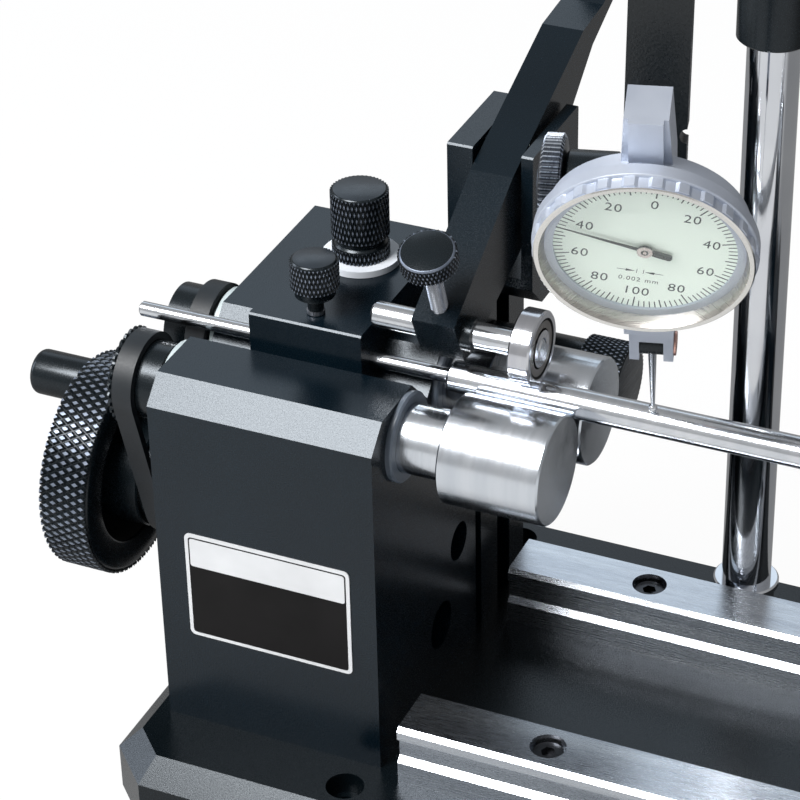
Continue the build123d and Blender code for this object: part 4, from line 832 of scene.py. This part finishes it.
# crest_highlight_share is the part of each ridge that carries the painted highlight.
ridges, ridge_depth, ridge_steepness, crest_highlight_share = 56, 0.55, 1.6, 0.26
band_start, band_end, disc_end = low + 0.6, low + 4.9, low + 5.0
disc_r, band_r, drum_r, dish_r, stub_r = 10.4, 9.6, 9.5, 8.8, 2.0


def from_crest(angle):
    """How far an angle is from the nearest crest: zero on it and one in a valley."""
    return abs(2 * ((angle / (2 * pi) * ridges) % 1) - 1)


def ridge_cut(_, angle):
    """A change of radius that leaves straight ridges round the wheel."""
    return -ridge_depth * min(from_crest(angle) * ridge_steepness, 1)


def ridge_highlight_paint(_, angle):
    """The painted highlight on the ridges' crests, and the wheel's own dark finish in the valleys."""
    return 0 if from_crest(angle) < crest_highlight_share else 1


disc.lathe(
    side_wheel,
    [(low, 0), (low, 6.6), (low + 0.35, 7.0), (low + 0.35, dish_r), (low + 0.7, drum_r)],
    ridges * 2,
    [1] * 4,
)
disc.lathe(
    side_wheel,
    [
        (band_start, 9.0),
        (band_start, band_r),
        (band_start + 0.5, disc_r),
        (band_end - 0.5, disc_r),
        (band_end, band_r),
        (band_end, 9.0),
    ],
    ridges * 8,
    ridge_highlight_paint,
    ridge_cut,
)
disc.lathe(
    side_wheel,
    [
        (low + 0.7, drum_r),
        (disc_end - 0.2, drum_r),
        (disc_end, dish_r),
        (disc_end, stub_r),
        (high, stub_r),
        (high, 0),
    ],
    ridges * 2,
    [1] * 5,
)
disc.done("clamp_wheel", ["clamp_wheel"], 30)

# Bezel: its body, a grip band that steps softly, and the lip that holds the crystal
bezel_turn = Turning(dial_middle, outward, upward)
bezel = Piece("bezel_shell", SATIN_GREY, BRIGHT_RIM, WARM_WALL, RECESS_SHADE)
bezel_back, bezel_r, bezel_bore_r, bezel_sides = -2.6, 22.3, 18.05, 208
body_end, grip_band_end, grip_band_r, grip_band_edge = 0.6, 3.1, 21.5, 0.6
lip_end, lip_r, lip_bore_r, wall_foot_r = 3.55, 21.7, 20.6, 19.65
grips, grip_rise, grip_steepness = 26, 0.45, 14


def grip_step(_, angle):
    """How far the grip band is raised, stepping softly up and down round the bezel."""
    phase = (angle / (2 * pi) * grips) % 1
    return grip_rise * min(max((0.25 - abs(phase - 0.5)) * grip_steepness + 0.5, 0), 1)


bezel.ring(
    bezel_turn,
    [
        (bezel_back, bezel_bore_r),
        (bezel_back, bezel_r - 0.4),
        (bezel_back + 0.3, bezel_r - 0.05),
        (body_end - 0.3, bezel_r),
        (body_end - 0.1, bezel_r - 0.15),
        (body_end, bezel_r - 0.4),
        (body_end, bezel_bore_r),
    ],
    bezel_sides,
)
bezel.lathe(
    bezel_turn,
    [
        (body_end - 0.05, grip_band_r - grip_band_edge),
        (body_end - 0.05, grip_band_r),
        (grip_band_end - 0.2, grip_band_r - 0.05),
        (grip_band_end, grip_band_r - grip_band_edge),
    ],
    grips * 16,
    None,
    grip_step,
)
bezel.ring(
    bezel_turn,
    [
        (body_end, 20.8),
        (grip_band_end - 0.2, 21.1),
        (grip_band_end, lip_r - 0.05),
        (lip_end - 0.2, lip_r),
        (lip_end, lip_r - 0.25),
        (lip_end - 0.05, lip_bore_r),
        (lip_end - 0.25, lip_bore_r - 0.15),
        (0.5, wall_foot_r + 0.1),
        (0.3, wall_foot_r + 0.07),
        (0.0, wall_foot_r),
        (-0.5, wall_foot_r),
        (-0.5, wall_foot_r + 0.55),
    ],
    bezel_sides,
    # The inner wall down to the dial takes the painted shade.
    [0, 0, 0, 1, 1, 2, 2, 3, 3, 0, 0, 0],
)
bezel.done("bezel", ["dial_bezel"], 32)

# Copper washer beside the stylus carrier
washer = Piece("carrier_washer", COPPER)
washer_turn = Turning(place("stylus_swing"), across)
washer_start, washer_end, washer_r, washer_bore_r, washer_edge = 4.62, 5.15, 2.6, 1.25, 0.1
washer_outline = [
    (washer_start, washer_bore_r),
    (washer_start, washer_r - washer_edge),
    (washer_start + washer_edge, washer_r),
    (washer_end - washer_edge, washer_r),
    (washer_end, washer_r - washer_edge),
    (washer_end, washer_bore_r),
]
washer.ring(washer_turn, washer_outline, 48)
washer.done("indicator", ())

# Dial marks, longer at every fifth and longest at every tenth
marks = Piece("dial_marks", INK)
dial_turn = radians(8.5)
dial_right = across * cos(dial_turn) - upward * sin(dial_turn)
dial_up = upward * cos(dial_turn) + across * sin(dial_turn)
mark_low, mark_high = 0.005, 0.03
mark_count, mark_r = 100, 18.95
for number in range(mark_count):
    angle = 2 * pi * number / mark_count
    spoke = dial_up * cos(angle) + dial_right * sin(angle)
    cross = spoke.cross(outward)
    inner = mark_r - (3.8 if number % 10 == 0 else 3.2 if number % 5 == 0 else 2.7)
    half = 0.13 if number % 5 == 0 else 0.11
    outline = [(-half, inner), (half, inner), (half, mark_r), (-half, mark_r)]
    marks.slab(dial_middle, cross, spoke, outline, mark_low, mark_high)


def arrow(start, end, y):
    """A small arrow along the dial from start to end, at a height y."""
    line_half, head_half = 0.06, 0.34
    way = 1 if end > start else -1
    line_end, head_foot = end - way * 1.6, end - way * 1.9
    line = [(start, -line_half), (line_end, -line_half), (line_end, line_half), (start, line_half)]
    head = [(end, 0), (head_foot, -head_half), (head_foot, head_half)]
    for outline in (line, head):
        outline = [(x, y + rise) for x, rise in outline][::way]
        marks.slab(dial_middle, dial_right, dial_up, outline, mark_low, mark_high)


arrow_tail, arrow_tip, arrow_y = 4.6, 0.95, -7.15
tick_width, tick_low, tick_high = 0.12, -7.7, -6.5
for side in (-1, 1):
    arrow(side * arrow_tail, side * arrow_tip, arrow_y)
for x in (-0.72, 0.6):
    after = x + tick_width
    tick = [(x, tick_low), (after, tick_low), (after, tick_high), (x, tick_high)]
    marks.slab(dial_middle, dial_right, dial_up, tick, mark_low, mark_high)
marks.done("bezel", ())


def lettering(name, text, x, y, size, spacing):
    """Raised text on the dial, centred on a place in the dial's own directions."""
    curve = bpy.data.curves.new(name, "FONT")
    curve.body = text
    curve.size = size * MM
    curve.space_character = spacing
    curve.align_x = "CENTER"
    curve.align_y = "CENTER"
    curve.extrude = 0.00001
    curve.resolution_u = 4
    maker = bpy.data.objects.new(name + "_maker", curve)
    bpy.context.scene.collection.objects.link(maker)
    bpy.context.view_layer.update()
    drawn = maker.evaluated_get(bpy.context.evaluated_depsgraph_get())
    mesh = bpy.data.meshes.new_from_object(drawn)
    bpy.data.objects.remove(maker)
    origin = dial_middle + (dial_right * x + dial_up * y + outward * 0.02) * MM
    matrix = Matrix((dial_right, dial_up, outward)).transposed().to_4x4()
    matrix.translation = origin
    mesh.transform(matrix)
    mesh.materials.clear()
    mesh.materials.append(INK)
    mesh.name = name
    made = bpy.data.objects.new(name, mesh)
    bpy.context.scene.collection.objects.link(made)
    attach(made, "bezel")


numerals = ("0", "20", "40", "60", "80", "100", "80", "60", "40", "20")
numeral_r, long_numeral_r, numeral_size, numeral_spread = 13.1, 13.3, 3.3, 1.12
for number, text in enumerate(numerals):
    angle = 2 * pi * number / len(numerals)
    radius = long_numeral_r if text == "100" else numeral_r
    spot = (radius * sin(angle), radius * cos(angle))
    lettering(f"numeral_{number}", text, *spot, numeral_size, numeral_spread)
note_y, note_size, note_spread = -9.7, 1.7, 1.2
lettering("graduation_note", "0.002 mm", 0.0, note_y, note_size, note_spread)

# Pointer: a tapered hand, a tail with a round end, and a hub on a pin through the dial
hand = Piece("pointer_hand", POINTER, HUB)
hand_angle = radians(161.5)
hand_x = across * cos(hand_angle) + upward * sin(hand_angle)
hand_y = outward.cross(hand_x)
hand_reach, hand_shoulder, hand_half, shoulder_half = 18.2, 4.0, 0.42, 0.3
hand_outline = [
    (hand_reach, 0),
    (hand_shoulder, shoulder_half),
    (0, hand_half),
    (0, -hand_half),
    (hand_shoulder, -shoulder_half),
]
hand.slab(dial_middle, hand_x, hand_y, hand_outline, 0.55, 0.8)
tail_reach, tail_half, tail_round, tail_neck, neck_half = 5.0, 0.8, 0.6, 2.2, 0.75
tail_angles = [radians(15 * step) for step in range(1, 12)]
tail = [(-tail_neck, neck_half), (-tail_reach, tail_half)]
tail += [(-tail_reach - tail_round * sin(a), tail_half * cos(a)) for a in tail_angles]
tail += [(-tail_reach, -tail_half), (-tail_neck, -neck_half), (0, -0.5), (0, 0.5)]
hand.slab(dial_middle, hand_x, hand_y, tail[::-1], 0.5, 0.85)
hub_outline = [
    (0.5, 0),
    (0.5, 1.55),
    (1.05, 1.6),
    (1.15, 1.5),
    (1.15, 0.75),
    (1.02, 0.65),
    (1.02, 0.45),
    (1.2, 0.4),
    (1.2, 0),
]
hand.lathe(bezel_turn, hub_outline, 40, [0, 0, 1, 1, 0, 0, 1, 1])
pin_start, pin_end, pin_r = -3.4, 0.6, 0.6
hand.lathe(bezel_turn, [(pin_start, 0), (pin_start, pin_r), (pin_end, pin_r), (pin_end, 0)], 20, [0, 1, 0])
hand.done("pointer", ["dial_pointer"])

# Label plate, left bare: a pale plate, a dark field and a pale band across its top
plate = Piece("label_plate", PLATE_WHITE, PLATE_BLACK)
head_front = reach("headstock_body", Vector(), Vector((0, 1, 0)))[0]
plate_middle = Vector((-128.35, head_front, 62.76)) * MM
plate_width, plate_height, plate_thickness, print_thickness = 41.4, 28.6, 0.3, 0.03
field_border, band_border, band_height = 0.9, 1.25, 7.6
band_rise = plate_height / 2 - band_border - band_height / 2
plate_outline = rounded(plate_width, plate_height, 1.4)
field_outline = rounded(plate_width - 2 * field_border, plate_height - 2 * field_border, 0.8)
band = rounded(plate_width - 2 * band_border, band_height, 0.6)
band_outline = [(x, y + band_rise) for x, y in band]
level = 0.0
for outline, thickness, paint in (
    (plate_outline, plate_thickness, 0),
    (field_outline, print_thickness, 1),
    (band_outline, print_thickness, 0),
):
    plate.slab(plate_middle, RIGHT, UP, outline, level, level + thickness, paint)
    level += thickness
plate.done("frame", ())

# Camera, solved from the photograph's vanishing points
camera_data = bpy.data.cameras.new("camera")
camera_data.sensor_width = 36.0
camera_data.lens = 133.416
camera_data.clip_start = 0.01
camera_data.clip_end = 20
camera = bpy.data.objects.new("camera", camera_data)
bpy.context.scene.collection.objects.link(camera)
camera_place = Vector((0.1275, -0.52495, 0.4658))
camera_turn = Euler([radians(angle) for angle in (57.3002, 1.1512, 24.022)])
camera.matrix_world = Matrix.LocRotScale(camera_place, camera_turn, None)
bpy.context.scene.camera = camera

# Lights
subject = Vector((-0.05, 0.0, 0.1))


def softbox(name, away, width, height, radiance, colour=(1, 1, 1)):
    """A large light that faces the subject from some way away, given by its surface's brightness."""
    data = bpy.data.lights.new(name, "AREA")
    data.shape = "RECTANGLE"
    data.size = width
    data.size_y = height
    data.energy = radiance * pi * width * height
    data.color = colour
    made = bpy.data.objects.new(name, data)
    bpy.context.scene.collection.objects.link(made)
    made.location = subject + Vector(away)
    made.rotation_euler = (-Vector(away)).to_track_quat("-Z", "Y").to_euler()
    made.visible_camera = False


softbox("key", (-0.385, -0.594, 0.836), 0.5, 0.5, 25.0)
softbox("back", (-0.54, 0.96, 0.72), 0.8, 0.5, 0.9, (0.72, 0.86, 1.0))
softbox("side", (-0.9, -0.1, 0.25), 0.3, 0.5, 5.0, (0.8, 0.88, 1.0))


# Surroundings
def seen_by(tree, *kinds):
    """The Light Path node, and a value that is one for rays of the named kinds."""
    rays = tree.nodes.new("ShaderNodeLightPath")
    seen = rays.outputs[kinds[0]]
    for kind in kinds[1:]:
        highest = tree.nodes.new("ShaderNodeMath")
        highest.operation = "MAXIMUM"
        tree.links.new(seen, highest.inputs[0])
        tree.links.new(rays.outputs[kind], highest.inputs[1])
        seen = highest.outputs[0]
    return rays, seen


def mix_shaders(tree, share, first, second, output):
    """Show the second shader by its share, and the first one otherwise."""
    mixing = tree.nodes.new("ShaderNodeMixShader")
    for socket, source in enumerate((share, first.outputs[0], second.outputs[0])):
        tree.links.new(source, mixing.inputs[socket])
    tree.links.new(mixing.outputs[0], output.inputs[0])


def dim_reflections(tree, rays, glowing, start, end, low, high):
    """A strength of one for the camera that, in reflections, goes from low to high along Y."""
    geometry = tree.nodes.new("ShaderNodeNewGeometry")
    split = tree.nodes.new("ShaderNodeSeparateXYZ")
    tree.links.new(geometry.outputs["Position"], split.inputs[0])
    level = spread(tree, split.outputs["Y"], start, end, low, high)
    strength = tree.nodes.new("ShaderNodeMapRange")
    strength.inputs["To Min"].default_value = 1.0
    tree.links.new(level, strength.inputs["To Max"])
    tree.links.new(rays.outputs["Is Glossy Ray"], strength.inputs["Value"])
    tree.links.new(strength.outputs[0], glowing.inputs["Strength"])


def paper():
    """A pale floor that glows for the camera and in reflections, with a trace of shadow left."""
    made = bpy.data.materials.new("paper")
    made.use_nodes = True
    tree = made.node_tree
    tree.nodes.clear()
    output = tree.nodes.new("ShaderNodeOutputMaterial")
    paint = tree.nodes.new("ShaderNodeBsdfDiffuse")
    paint.inputs["Color"].default_value = (0.82, 0.83, 0.85, 1)
    glow = tree.nodes.new("ShaderNodeEmission")
    rays, seen = seen_by(tree, "Is Camera Ray", "Is Glossy Ray")
    glow_share = 0.96
    front, back, front_level, back_level = -0.13, 0.0, 0.9, 0.27
    mix_shaders(tree, spread(tree, seen, 0, 1, 0, glow_share), paint, glow, output)
    dim_reflections(tree, rays, glow, front, back, front_level, back_level)
    return made


def room():
    """A white world for the camera, reflections and glass, and a soft cool fill for the rest."""
    made = bpy.data.worlds.new("world")
    made.use_nodes = True
    tree = made.node_tree
    tree.nodes.clear()
    output = tree.nodes.new("ShaderNodeOutputWorld")
    shown = tree.nodes.new("ShaderNodeBackground")
    shown.inputs["Color"].default_value = (1, 1, 1, 1)
    fill = tree.nodes.new("ShaderNodeBackground")
    fill.inputs["Color"].default_value = (0.92, 0.96, 1.0, 1)
    fill.inputs["Strength"].default_value = 0.22
    rays, seen = seen_by(tree, "Is Camera Ray", "Is Glossy Ray", "Is Transmission Ray")
    front, back, front_level, back_level = -0.5, 0.5, 0.5, 0.36
    mix_shaders(tree, seen, fill, shown, output)
    dim_reflections(tree, rays, shown, front, back, front_level, back_level)
    return made


floor_half = 6.0
floor_corners = [(-1, -1), (1, -1), (1, 1), (-1, 1)]
floor_mesh = bpy.data.meshes.new("floor")
floor_mesh.from_pydata([(x * floor_half, y * floor_half, 0) for x, y in floor_corners], [], [[0, 1, 2, 3]])
floor_mesh.materials.append(paper())
floor = bpy.data.objects.new("floor", floor_mesh)
bpy.context.scene.collection.objects.link(floor)
bpy.context.scene.world = room()

bpy.context.scene.view_settings.view_transform = "Standard"
